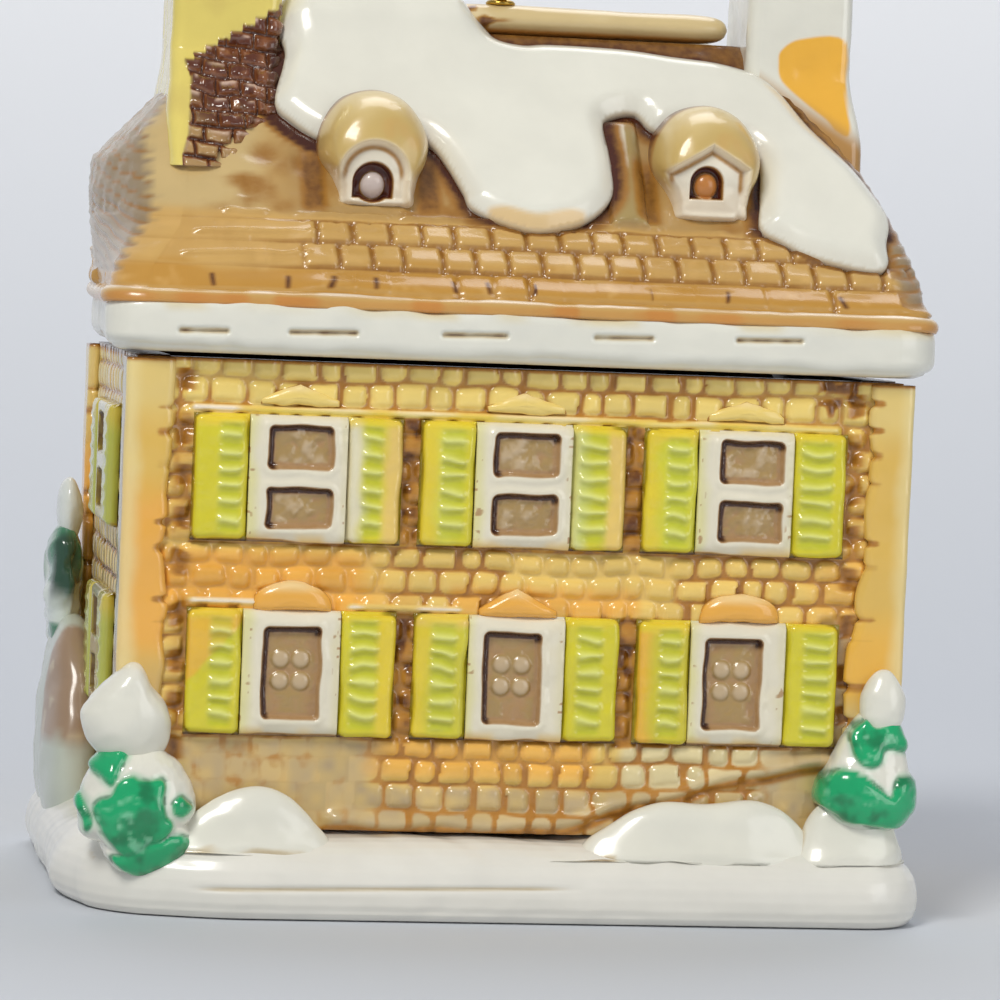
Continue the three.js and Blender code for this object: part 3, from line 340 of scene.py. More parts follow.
@dataclass(frozen=True)
class RingPlan:
    """How the points of a rounded rectangle are spread: on its four sides and in each corner's arc."""

    right: int
    back: int
    left: int
    front: int
    arc: int = 8

    def spread(self) -> tuple[Array, Array]:
        """Where each column stands, from the back right corner anticlockwise.

        Returns:
            Factors (columns, 4) for x = a(hx-r) + cr, y = b(hy-r) + dr, and each column's side:
            0 right, 1 back, 2 left and 3 front.
        """
        rows, sides = [], []
        signs = ((1, 1), (-1, 1), (-1, -1), (1, -1), (1, 1))
        for corner, run in enumerate((self.back, self.left, self.front, self.right)):
            (sx, sy), (ex, ey) = signs[corner], signs[corner + 1]
            angle = (corner + np.linspace(0, 1, self.arc)) * math.pi / 2
            ones = np.ones(self.arc)
            rows.append(np.stack([sx * ones, sy * ones, np.cos(angle), np.sin(angle)], 1))
            t = np.linspace(0, 1, run + 2)[1:-1]
            end = (corner + 1) * math.pi / 2
            c, s = round(math.cos(end)), round(math.sin(end))
            rows.append(np.stack([sx + (ex - sx) * t, sy + (ey - sy) * t, c + 0 * t, s + 0 * t], 1))
            sides += [np.full(self.arc, corner), np.full(run, (corner + 1) % 4)]
        return np.concatenate(rows), np.concatenate(sides)

    def on(self, *sides: int) -> Array:
        """1 for each column on one of these sides, 0 for the others, as one row."""
        return np.isin(self.spread()[1], sides)[None, :] * 1.0

    def rings(self, half_x: Array, half_y: Array, radius: Array | float, z: Array) -> Array:
        """Rounded rectangles, one for each row of the given arrays, as (rows, columns, 3) points."""
        f = self.spread()[0]
        radius = np.minimum(radius, np.minimum(half_x, half_y))[:, None]
        x = f[:, 0] * (half_x[:, None] - radius) + f[:, 2] * radius
        y = f[:, 1] * (half_y[:, None] - radius) + f[:, 3] * radius
        return xyz(x, y, z[:, None])


# finishes


class Graph:
    """A material's node tree, with short calls that add nodes and feed their sockets."""

    def __init__(self, name: str) -> None:
        """Makes the material with its shader, and a pattern place that is the Object coordinates."""
        self.material = bpy.data.materials.new(name)
        self.material.use_nodes = True
        self.shader = self.material.node_tree.nodes["Principled BSDF"]
        self.place = self.add("TexCoord").outputs["Object"]

    def add(self, kind: str, sockets: dict | None = None, **settings: str) -> bpy.types.Node:
        """Adds a node of this kind, sets it up and feeds its sockets."""
        node = self.material.node_tree.nodes.new("ShaderNode" + kind)
        for key, value in settings.items():
            setattr(node, key, value)
        self.feed(node, sockets or {})
        return node

    def feed(self, node: bpy.types.Node, sockets: dict) -> None:
        """Gives each named or numbered input a value, or joins it to another node's output."""
        for key, value in sockets.items():
            if isinstance(value, bpy.types.NodeSocket):
                self.material.node_tree.links.new(value, node.inputs[key])
            else:
                node.inputs[key].default_value = value

    def noise(self, scale: float, detail: float = 2.0) -> bpy.types.NodeSocket:
        """Noise on the Object coordinates, with scale cells to the metre."""
        return self.add("TexNoise", {"Vector": self.place, "Scale": scale, "Detail": detail}).outputs["Fac"]

    def maths(self, operation: str, *values: float | bpy.types.NodeSocket) -> bpy.types.NodeSocket:
        """The result of a maths node on these values."""
        return self.add("Math", dict(enumerate(values)), operation=operation).outputs[0]

    def mixed(self, factor: object, a: object, b: object, blend: str = "MIX") -> bpy.types.NodeSocket:
        """Two colours mixed by a factor."""
        node = self.add("Mix", data_type="RGBA", blend_type=blend)
        self.feed(node, {"Factor": factor, "A": a, "B": b})
        return node.outputs["Result"]

    def ramp(self, factor: bpy.types.NodeSocket, *stops: tuple[float, Colour]) -> bpy.types.NodeSocket:
        """A colour ramp with two stops, each a position and a linear colour."""
        node = self.add("ValToRGB", {"Fac": factor})
        for element, (position, colour) in zip(node.color_ramp.elements, stops):
            element.position, element.color = position, (*colour, 1.0)
        return node.outputs["Color"]


@dataclass(frozen=True)
class Glaze:
    """A glossy glaze over hand-laid paint, with a brown wash in its recesses.

    Args:
        name: the material's name.
        roughness: of the glaze.
        coat: weight of the clear top layer.
        pit: depth of the fine bump, in mm.
        thin, deep: colours of the antique wash where little of it lies, and where it lies thick.
        speckle: how strongly fine specks break the wash's edge.
    """

    name: str
    roughness: float = 0.25
    coat: float = 0.6
    pit: float = 0.02
    thin: Colour = (186, 128, 52)
    deep: Colour = (92, 48, 14)
    speckle: float = 0.5

    def material(self) -> bpy.types.Material:
        """The node material: the paint, shaded by soft noise, under thin and then deep wash.

        The wash's amount is w + w * speckle * (noise - 0.5); thin wash comes in from 0.05 to 0.55 of it
        and deep wash from 0.45 to 1.
        """
        graph = Graph(self.name)
        paint = graph.add("Attribute", attribute_name="paint").outputs["Color"]
        wash = graph.add("Attribute", attribute_name="wash").outputs["Fac"]
        broken = graph.maths("MULTIPLY_ADD", graph.noise(1500.0, 4.0), self.speckle, -0.5 * self.speckle)
        amount = graph.maths("ADD", wash, graph.maths("MULTIPLY", broken, wash))
        cloud = graph.maths("MULTIPLY_ADD", graph.noise(260.0, 3.0), 0.14, 0.93)
        colour = graph.mixed(1.0, paint, cloud, "MULTIPLY")
        for wash_and_shade, start, end in ((self.thin, 0.05, 0.55), (self.deep, 0.45, 1.0)):
            share = graph.add("MapRange", interpolation_type="SMOOTHSTEP")
            graph.feed(share, {"Value": amount, "From Min": start, "From Max": end})
            colour = graph.mixed(share.outputs["Result"], colour, (*linear(wash_and_shade), 1.0))
        bump = graph.add("Bump", {"Distance": self.pit * MM, "Strength": 0.6, "Height": graph.noise(900.0)})
        graph.feed(graph.shader, {
            "Base Color": colour, "Roughness": self.roughness, "Coat Weight": self.coat,
            "Coat Roughness": 0.06, "Normal": bump.outputs["Normal"],
        })
        return graph.material


@dataclass(frozen=True)
class BrassWire:
    """Drawn brass wire: a metal with faint draw marks and a little tarnish."""

    name: str = "brass_wire"
    colour: Colour = (214, 174, 84)
    roughness: float = 0.22

    def material(self) -> bpy.types.Material:
        """A metallic material whose colour is mottled by noise, down to 0.55 of it."""
        graph = Graph(self.name)
        mottle, bright = graph.noise(700.0), linear(self.colour)
        tone = graph.ramp(mottle, (0.25, tuple(0.55 * c for c in bright)), (0.6, bright))
        bump = graph.add("Bump", {"Distance": 0.008 * MM, "Height": mottle})
        graph.feed(graph.shader, {
            "Base Color": tone, "Metallic": 1.0, "Roughness": self.roughness, "Normal": bump.outputs["Normal"],
        })
        return graph.material


class Finish(Enum):
    """The finishes of the ornament, by the record's material slot."""

    SNOW = "snow_white"
    STONE = "stone_yellow"
    QUOIN = "quoin_orange"
    SHUTTER = "shutter_lime"
    FRAME = "frame_white"
    SHINGLE = "shingle_tan"
    HOOD = "hood_beige"
    CHIMNEY = "chimney_yellow"
    PINE = "pine_green"
    DOOR = "door_brown"
    BRASS = "brass"


RECIPES = {
    Finish.SNOW: Glaze("snow_glaze", 0.24, 0.35, 0.012, (208, 192, 160), (120, 84, 52), 0.3),
    Finish.STONE: Glaze("stone_glaze", 0.24, 0.45, 0.03),
    Finish.QUOIN: Glaze("quoin_glaze"),
    Finish.SHUTTER: Glaze("shutter_glaze", thin=(172, 150, 34), deep=(84, 52, 16)),
    Finish.FRAME: Glaze("frame_glaze", 0.25, 0.5, 0.02, (178, 140, 96), (70, 36, 16)),
    Finish.SHINGLE: Glaze("shingle_glaze", 0.26, 0.4, 0.04, (160, 112, 50), (72, 32, 12)),
    Finish.HOOD: Glaze("hood_glaze", 0.28, 0.4, 0.02, (176, 130, 66), (84, 34, 18)),
    Finish.CHIMNEY: Glaze("chimney_glaze", 0.22, 0.7, 0.03, (136, 84, 50), (60, 24, 12)),
    Finish.PINE: Glaze("pine_glaze", 0.2, 0.8, 0.03, (10, 96, 62), (8, 48, 34)),
    Finish.DOOR: Glaze("door_glaze", 0.25, 0.6, 0.03, (120, 70, 30), (50, 26, 10)),
    Finish.BRASS: BrassWire(),
}


class Shelf:
    """The finishes ready to use, one material for each."""

    def __init__(self) -> None:
        """Mixes every one of them once."""
        self.materials = {finish: recipe.material() for finish, recipe in RECIPES.items()}

    def dress(self, piece: bpy.types.Object, finish: Finish, *nodes: str, body: str = HOUSE) -> None:
        """Gives a piece its finish, says which CAD nodes it stands for and what it rides on."""
        piece.data.materials.append(self.materials[finish])
        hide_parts(*nodes)
        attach(piece, body)
        LOG.info("%s: %d points, stands for %s", piece.name, len(piece.data.vertices), ", ".join(nodes))


# colours of the brush

SNOW = (232, 230, 216)
LEMON = (242, 212, 120)
YELLOW = (240, 203, 112)
AMBER = (243, 178, 78)
PALE = (236, 218, 164)
TAUPE = (190, 166, 126)
LIME = (220, 208, 50)
CITRON = (236, 208, 58)
OFF_WHITE = (234, 226, 202)
PANE = (172, 142, 90)
TAN = (208, 166, 96)
RUST = (192, 138, 52)
GREY_TAN = (148, 129, 102)
BEIGE = (206, 176, 108)
BUTTER = (232, 212, 112)
TANGERINE = (246, 184, 66)
EMERALD = (14, 168, 106)


# reliefs on the walls' planes


def face_grid(across: Sequence[float], up: Sequence[float], step: float) -> tuple[Array, Array]:
    """A grid of places x and z over a rectangle, in rows upwards."""
    return tuple(np.meshgrid(*(np.arange(low, high + 0.01, step) for low, high in (across, up))))


Relief = tuple[Array, Array, Array, Canvas]  # x, z, height out of the plane, paint and wash


@dataclass(frozen=True)
class Plane:
    """The plane that a relief is cast on.

    Args:
        quarter: how many quarters of a turn about Z it stands from the front.
        out: how far from the middle of the house the relief's height starts.
        back: how far from the middle its flat back stands.
    """

    quarter: int
    out: float
    back: float

    def cast(self, name: str, x: Array, z: Array, height: Array, canvas: Canvas) -> bpy.types.Object:
        """A relief plate: a grid for its face, a straight side round its border and one flat back.

        Before the turn, a point of the face is (x, -out - height, z) and of the back (x, -back, z).

        Args:
            name: the piece's name.
            x, z: places, in rows upwards and columns to the right seen from outside.
            height: how far each stands out.
            canvas: paint and wash of the face; the sides carry on from its border.

        Returns:
            The linked object.
        """
        number = numbers(*x.shape)
        border = np.concatenate([number[0, :-1], number[:-1, -1], number[-1, :0:-1], number[:0:-1, 0]])
        behind = x.size + np.arange(len(border))
        quads = np.concatenate([grid_quads(*x.shape, False), sewn(border, behind)])
        canvas.take(np.concatenate([number.reshape(-1), border]))
        face = xyz(x, -self.out - height, z).reshape(-1, 3)
        back = xyz(face[border, 0], -self.back, face[border, 2])
        points = turned(np.concatenate([face, back]), self.quarter)
        return build_mesh(name, points, quads, [behind[::-1]], canvas)


# windows, shutters and doors


LOWER_SILL, UPPER_SILL, BAY_PITCH = 12.9, 26.8, 16.35


@dataclass(frozen=True)
class ShutterLook:
    """The brushwork of one shutter.

    Args:
        base: the colour over most of it.
        left, right, top: colours that run in from those edges, where there are any.
        strokes: the louvre strokes' run, as shares of the width.
        cut: True where the top colour ends on a slant.
    """

    base: Colour = LIME
    left: Colour | None = None
    right: Colour | None = None
    top: Colour | None = None
    strokes: tuple[float, float] = (0.3, 0.8)
    cut: bool = False


@dataclass(frozen=True)
class Bay:
    """One window with its shutters on the front: middle, sill height, the shutters' looks and its panes."""

    name: str
    x: float
    sill: float
    looks: tuple[ShutterLook, ShutterLook]
    panes: tuple[tuple[float, float, float, float], ...]  # left, right, bottom, top


FRONT_BAYS = tuple(
    Bay(f"{floor}_{side}", place * BAY_PITCH, sill, looks, tuple((x - half, x + half, *span) for span in spans))
    for floor, sill, half, spans, bays in (
        ("upper", UPPER_SILL, 2.35, ((27.9, 30.75), (32.1, 35.2)), (
            ("left", -1, -16.2, (
                ShutterLook(top=CITRON, strokes=(0.45, 0.85)),
                ShutterLook(left=OFF_WHITE, right=YELLOW, strokes=(0.25, 0.6)))),
            ("middle", 0, 0.15, (
                ShutterLook((224, 216, 76), CITRON, LIME, strokes=(0.35, 0.8)),
                ShutterLook(left=(226, 226, 150), right=YELLOW, strokes=(0.1, 0.62)))),
            ("right", 1, 16.8, (
                ShutterLook((218, 214, 58), CITRON, top=CITRON, strokes=(0.4, 0.8)),
                ShutterLook(strokes=(0.1, 0.7)))),
        )),
        ("lower", LOWER_SILL, 2.1, ((14.2, 20.75),), (
            ("left", -1, -16.35, (
                ShutterLook(top=(240, 190, 64), strokes=(0.4, 0.8), cut=True),
                ShutterLook(right=CITRON, strokes=(0.15, 0.65)))),
            ("middle", 0, -0.3, (
                ShutterLook((214, 204, 56), CITRON, top=YELLOW, strokes=(0.3, 0.75)),
                ShutterLook(strokes=(0.2, 0.65)))),
            ("right", 1, 15.95, (
                ShutterLook((214, 200, 50), TANGERINE, top=CITRON, strokes=(0.4, 0.8)),
                ShutterLook(strokes=(0.3, 0.8)))),
        )),
    )
    for side, place, x, looks in bays
)


@dataclass(frozen=True)
class Boss:
    """A raised form with any outline: the outline is drawn in towards a centre while it comes forward.

    With a from 0 to 90 degrees, the ring is scaled by 1 - soft * (1 - cos a) and stands at
    depth * (0.12 + 0.82 sin a); then it runs in over a slightly crowned face.

    Args:
        outline: (n, 2) points in x and z.
        centre: the point that it is drawn in to.
        back: y of its back.
        depth: how far it stands forward.
        soft: the share of it that is rounded.
        rows: how many rings its face has.
    """

    outline: Array
    centre: tuple[float, float]
    back: float
    depth: float
    soft: float
    rows: int = 12

    def build(self, name: str, colour: Colour, paint: Paint | None = None, quarter: int = 0,
              shape: Shape | None = None) -> bpy.types.Object:
        """Makes the piece.

        Args:
            name: the piece's name.
            colour: its ground colour.
            paint: adds its brushwork to (canvas, points, share), share being 1 at the outline.
            quarter: how many quarters of a turn about Z it stands from the front.
            shape: models its (points, share).

        Returns:
            The linked object.
        """
        angle = np.linspace(0, math.pi / 2, 14)
        edge = 1 - self.soft * (1 - np.cos(angle))
        face = np.linspace(edge[-1], 0.03, self.rows)[1:]
        share = np.concatenate([[1.0], edge, face])[:, None]
        crown = 0.94 + 0.06 * (1 - (face / edge[-1]) ** 2)
        reach = np.concatenate([[0.0], 0.12 + 0.82 * np.sin(angle), crown])
        x, z = self.outline[:, 0], self.outline[:, 1]
        if np.sum(x * np.roll(z, -1) - np.roll(x, -1) * z) < 0:
            x, z = x[::-1], z[::-1]
        middle_x, middle_z = self.centre
        points = xyz(middle_x + (x - middle_x) * share, self.back - self.depth * reach[:, None],
                     middle_z + (z - middle_z) * share)
        share = share + 0 * points[..., 0]
        if shape:
            points = shape(points, share)
        canvas = Canvas(share.shape, colour)
        if paint:
            paint(canvas, points, share)
        return loft(name, turned(points, quarter), canvas)


@dataclass(frozen=True)
class Lintel:
    """How a floor's lintels are made.

    Args:
        up: how far over the sill they stand.
        rise: how high they are.
        colour: their ground colour.
        depth, soft: how far they stand forward, and the share that is rounded.
        edge: how much wash lies at their outline.
        gabled: the bays that have a gabled one instead of a round one.
    """

    up: float
    rise: float
    colour: Colour
    depth: float
    soft: float
    edge: float
    gabled: tuple[str, ...]
    half: float = 2.9

    def build(self, bay: Bay, wall: float, shelf: Shelf) -> None:
        """A raised form over a window: half an ellipse, or a gable of height (1 - |u|)^0.85."""
        low, rise = bay.sill + self.up, self.rise
        u = 2 * np.linspace(0, 1, 41) - 1
        top = low + 0.5 + (rise - 0.5) * dome(u)
        if bay.name in self.gabled:
            top = low + 0.45 + (rise - 0.45) * (1 - np.abs(u)) ** 0.85
        x = bay.x + self.half * u
        x, z = np.concatenate([x, x[::-1]]), np.concatenate([low + 0 * x, top[::-1]])
        outline = np.stack([x, z], 1) + 0.12 * noise(x, z, 0.9, 7)[:, None]

        def paint(canvas: Canvas, points: Array, share: Array) -> None:
            """Pale on top as a painted highlight, with wash at its outline."""
            canvas.coat(((250, 226, 170), 0.7 * smooth(low + rise * 0.5, low + rise * 0.9, points[..., 2])))
            canvas.wash_and_shade(self.edge * smooth(0.93, 1.0, share))

        form = Boss(outline, (bay.x, low + rise * 0.42), -wall, self.depth, self.soft)
        shelf.dress(form.build(f"lintel_{bay.name}", self.colour, paint), Finish.STONE, f"window_{bay.name}")


LINTELS = {
    LOWER_SILL: Lintel(9.0, 2.2, AMBER, 1.0, 0.55, 0.4, ("lower_middle",)),
    UPPER_SILL: Lintel(9.75, 1.6, LEMON, 0.62, 0.8, 0.7, ("upper_left", "upper_middle", "upper_right")),
}


@dataclass(frozen=True)
class Openings:
    """Casts window frames, shutters and the back door as soft relief."""

    wall: float = 18.15  # how far out the front and back ones stand
    side_wall: float = 28.15
    frame_depth: float = 0.95
    shutter_depth: float = 1.1
    height: float = 9.1
    half_frame: float = 3.52
    shutter_in: float = 3.55
    shutter_out: float = 7.55
    louvres: float = 7.6  # how many strokes a shutter's height holds
    step: float = 0.1
    door_foot: float = 6.15
    door_height: float = 12.5
    half_door: float = 4.2

    def louvre(self, phase: Array, width: float) -> Array:
        """One stroke to each whole number of the phase: a bell round its half."""
        return bell(phase - np.floor(phase) - 0.5, width)

    def pane(self, x: Array, z: Array, edges: Sequence[float], beads: bool) -> tuple[Array, Array, Array]:
        """A sunk pane with a soft lumpy ground, or with four round beads in it.

        Returns:
            How deep it is, 0 to 1; the lumps in it; and its signed distance.
        """
        left, right, low, high = edges
        bent = x + 0.11 * noise(x, z, 1.9, 17), z + 0.1 * noise(x, z, 1.7, 18)
        centre = (left + right) / 2, (low + high) / 2
        away = box_distance(*bent, centre, ((right - left) / 2, (high - low) / 2), 0.35)
        lumps = 0.5 + 0.5 * rough(x, z, 0.9, 51)
        if beads:
            u, v = np.abs(x - centre[0]) - 0.74, np.abs(z - centre[1] - 0.2) - 0.8
            lumps = np.maximum(0.55 * lumps, dome(np.sqrt((u**2 + v**2) / 0.56)))
        return 1 - smooth(-0.22, 0.05, away), lumps, away

    def frame(self, bay: Bay) -> Relief:
        """The face of a frame: off-white, tinted at its sides, with sunk panes edged in brown wash and painted
        shadow at their top and left, and wash with painted shade along its foot.
        """
        x, z = face_grid((bay.x - self.half_frame, bay.x + self.half_frame),
                         (bay.sill, bay.sill + self.height), self.step)
        away = box_distance(x, z + 0.14 * noise(x, z, 2.1, 19), (bay.x, bay.sill + self.height / 2),
                            (self.half_frame + 0.5, self.height / 2 - 0.05), 0.5)
        height = 0.25 + (self.frame_depth - 0.3) * pillow(away, 0.9) + 0.09 * rough(x, z, 1.6, 23)
        across = (x - bay.x) / self.half_frame + 0.1 * noise(x, z, 1.7, 73)
        canvas = Canvas(x.shape, OFF_WHITE)
        canvas.coat(
            ((236, 224, 190), 0.35 * smooth(0.1, 0.8, rough(x, z, 2.2, 71))),
            ((224, 218, 128), 0.6 * smooth(-0.7, -0.98, across)),
            ((222, 212, 160), 0.45 * smooth(0.75, 0.98, across)),
        )
        canvas.wash_and_shade(0.45 * smooth(0.6, 0.8, noise(x, z, 0.3, 76)) * smooth(0.78, 0.92, np.abs(across)))
        for pane in bay.panes:
            sunk, lumps, edge = self.pane(x, z, pane, len(bay.panes) == 1)
            height += 0.1 * bell(edge - 0.25, 0.28) - sunk * (0.68 - 0.4 * lumps)
            canvas.coat((PANE, sunk), ((206, 182, 148), 0.75 * sunk * smooth(0.5, 0.85, lumps)))
            # painted shadow of the frame's lip: the wash round a pane is twice as strong at its top and left
            # edges
            upper = smooth(pane[3] - 0.9, pane[3] - 0.3, z) + smooth(pane[0] + 0.8, pane[0] + 0.3, x)
            canvas.wash_and_shade(0.45 * sunk * smooth(0.45, 0.15, lumps),
                         between(edge, -0.62, -0.3, -0.02, 0.16) * (0.5 + 0.5 * np.clip(upper, 0, 1)))
        low = smooth(bay.sill + 1.0, bay.sill, z)
        canvas.coat(((244, 204, 112), 0.75 * low * smooth(-0.3, 0.4, noise(x, z, 1.8, 75))))
        # wash and painted shade along the frame's foot
        canvas.wash_and_shade(0.7 * low * smooth(-0.18, -0.02, away))
        return x, z, height, canvas

    def shutter(self, bay: Bay, side: int, look: ShutterLook, seed: int) -> Relief:
        """The face of a shutter: a soft board with short raised louvre strokes that carry a painted highlight,
        and painted shade along its bottom edge.

        Args:
            bay: the window that it belongs to.
            side: -1 to the left of it, 1 to the right.
            look: its brushwork.
            seed: of its noise.
        """
        half, middle = (self.shutter_out - self.shutter_in) / 2, bay.sill + self.height / 2
        x0 = bay.x + side * (self.shutter_in + self.shutter_out) / 2
        x, z = face_grid((x0 - half, x0 + half), (bay.sill, bay.sill + self.height), self.step)
        bent = x + 0.13 * noise(x, z, 2.4, seed + 7), z + 0.13 * noise(x, z, 1.9, seed + 8)
        away = box_distance(*bent, (x0, middle), (half - 0.06, self.height / 2 - 0.06), 0.55)
        u, v = (x - x0 + half) / (2 * half), (z - bay.sill) / self.height
        start, end = look.strokes
        run = between(u, start - 0.06, start + 0.1, end - 0.08, end + 0.08)
        phase = v * self.louvres + 0.3 * u + 0.16 * noise(x, z, 1.3, seed)
        stroke = self.louvre(phase, 0.25) * run * between(v, 0.06, 0.12, 0.9, 0.96)
        height = 0.3 + (self.shutter_depth - 0.42) * pillow(away, 0.5) + 0.08 * rough(x, z, 1.3, seed)
        height += 0.34 * stroke - 0.1 * run * between(v, 0.04, 0.1, 0.9, 0.97)
        canvas = Canvas(x.shape, look.base)
        if look.left:
            canvas.coat((look.left, 0.85 * smooth(0.42, 0.12, u + 0.08 * noise(x, z, 1.5, seed + 2))))
        if look.right:
            canvas.coat((look.right, 0.95 * smooth(0.5, 0.78, u + 0.08 * noise(x, z, 1.5, seed + 3))))
        if look.top:
            slant = v + (0.5 * (1 - u) if look.cut else 0) + 0.03 * noise(x, z, 1.0, seed + 4)
            canvas.coat((look.top, smooth(0.86, 0.94, slant)))
        canvas.coat(
            (CITRON, 0.7 * smooth(0.9, 0.97, v + 0.03 * noise(x, z, 1.1, seed + 6))),
            # painted highlight on the louvre strokes
            ((232, 236, 140), 0.75 * stroke),
            ((172, 186, 34), 0.5 * run * (1 - stroke) * between(v, 0.05, 0.1, 0.9, 0.96)),
        )
        canvas.shade(1 + 0.06 * rough(x, z, 1.2, seed + 5))
        outer = u if side > 0 else 1 - u
        # wash down the outer side, and painted shade along the bottom edge
        dark = np.maximum(smooth(0.06, 0.0, v), 0.7 * smooth(0.6, 0.9, outer))
        canvas.wash_and_shade(smooth(-0.14, -0.01, away) * dark)
        return x, z, height, canvas

    def unit(self, sill: float, muted: bool) -> Relief:
        """A window of a hidden wall with both shutters, cast as one; muted ones are greyed over."""
        reach, half, middle = self.shutter_out, self.height / 2, sill + self.height / 2
        x, z = face_grid((-reach, reach), (sill, sill + self.height), 0.14)
        inner = box_distance(x, z, (0, middle), (self.half_frame - 0.1, half), 0.4)
        away = box_distance(np.abs(x), z, (5.55, middle), (2.0, half), 0.45)
        board = 1 - smooth(-0.12, 0.02, away)
        phase = (z - sill) / self.height * self.louvres + 0.1 * noise(x, z, 1.5, 5)
        stroke = self.louvre(phase, 0.2) * between(np.abs(x) - 3.9, 0.5, 0.8, 2.8, 3.1)
        height = 0.12 + 0.7 * pillow(inner, 0.45)
        height = np.maximum(height, (0.25 + 0.7 * pillow(away, 0.8) + 0.1 * stroke) * board)
        canvas = Canvas(x.shape, OFF_WHITE)
        canvas.coat(
            ((190, 200, 62) if muted else LIME, board),
            (CITRON, board * smooth(sill + 6.5, sill + 8.5, z)),
            # painted highlight on the louvre strokes
            ((222, 226, 120), 0.4 * stroke * board),
        )
        for low, high in ((sill + 1.1, sill + 3.95), (sill + 5.2, sill + 8.2)):
            sunk, lumps, edge = self.pane(x, z, (-2.3, 2.3, low, high), False)
            height -= sunk * (0.55 - 0.2 * lumps)
            canvas.coat((PANE, sunk))
            canvas.wash_and_shade(0.85 * between(edge, -0.5, -0.2, -0.02, 0.16))
        canvas.wash_and_shade(0.85 * smooth(-0.15, 0.0, away) * smooth(0.2, 0.0, away),
                     0.6 * smooth(-0.15, -0.01, box_distance(x, z, (0, middle), (reach, half), 0.3)))
        if muted:
            canvas.coat(((172, 166, 96), 0.45))
        return x, z, height, canvas

    def door(self) -> Relief:
        """The back door's face: a planked leaf with a knob in a pale surround."""
        foot, top = self.door_foot, self.door_foot + self.door_height
        x, z = face_grid((-self.half_door, self.half_door), (foot, top), 0.12)
        leaf = box_distance(x, z, (0, 11.8), (3.1, 5.65), 0.3)
        outer = box_distance(x, z, (0, (foot + top) / 2), (self.half_door, self.door_height / 2), 0.4)
        planks = np.abs(x / 1.25 - np.round(x / 1.25)) * 1.25
        inside = 1 - smooth(-0.1, 0.0, leaf)
        knob = np.exp(-((x - 2.2) ** 2 + (z - 11.6) ** 2) / 0.12)
        height = 0.3 + 0.9 * pillow(outer, 0.45) - 0.45 * (1 - smooth(-0.15, 0.05, leaf))
        height += 0.45 * knob - 0.12 * inside * smooth(0.14, 0.02, planks)
        canvas = Canvas(x.shape, OFF_WHITE)
        canvas.coat(
            ((164, 98, 46), inside),
            ((196, 130, 70), 0.5 * inside * (0.5 + 0.5 * noise(x * 5, z, 2.2, 3))),
            (YELLOW, smooth(0.3, 0.7, knob)),
        )
        canvas.wash_and_shade(inside * smooth(0.16, 0.03, planks) * 0.9, 0.85 * bell(leaf, 0.16))
        return x, z, height, canvas

    def build(self, shelf: Shelf) -> None:
        """Makes every window, shutter and door."""
        front, back = Plane(0, self.wall, self.wall), Plane(2, self.wall, self.wall)
        for index, bay in enumerate(FRONT_BAYS):
            node = f"window_{bay.name}"
            shelf.dress(front.cast(f"frame_{bay.name}", *self.frame(bay)), Finish.FRAME, node)
            for letter, side, look in zip("lr", (-1, 1), bay.looks):
                relief = self.shutter(bay, side, look, 100 + 10 * index + side)
                name = f"{bay.name}_{letter}"
                shelf.dress(front.cast(f"board_{name}", *relief), Finish.SHUTTER, f"shutter_{name}")
            LINTELS[bay.sill].build(bay, self.wall, shelf)
        floors = ("lower", LOWER_SILL), ("upper", UPPER_SILL)
        for wall, quarter in (("left", 3), ("right", 1)):
            plane = Plane(quarter, self.side_wall, self.side_wall)
            for floor, sill in floors:
                piece = plane.cast(f"unit_{wall}_{floor}", *self.unit(sill, wall == "left"))
                shelf.dress(piece, Finish.SHUTTER, f"{wall}_window_{floor}")
        for floor, sill in floors:
            for side, place in (("left", -1), ("middle", 0), ("right", 1)):
                if (floor, side) != ("lower", "middle"):  # the door stands there
                    x, z, height, canvas = self.unit(sill, False)
                    piece = back.cast(f"unit_back_{floor}_{side}", x - place * BAY_PITCH, z, height, canvas)
                    shelf.dress(piece, Finish.SHUTTER, f"back_window_{floor}_{side}")
        shelf.dress(back.cast("door_back", *self.door()), Finish.DOOR, "back_door")
        top, half = self.door_foot + self.door_height, self.half_door
        outline = Outline(((-half, top), (half, top), (3.4, top + 0.7), (0, top + 1.8), (-3.4, top + 0.7)))
        gable = Boss(outline.curve(), (0, top + 0.6), -self.wall, 1.3, 0.5)
        shelf.dress(gable.build("door_gable", OFF_WHITE, None, 2), Finish.FRAME, "back_door")


# walls


FRONT_ROWS = np.array([
    4.0, 5.8, 7.6, 9.6, 11.4, 13.1, 14.8, 16.5, 18.2, 19.9, 21.6, 23.3, 25.0, 26.6, 28.2, 29.8, 31.4, 33.0,
    34.8, 36.5, 38.4, 40.3,
])


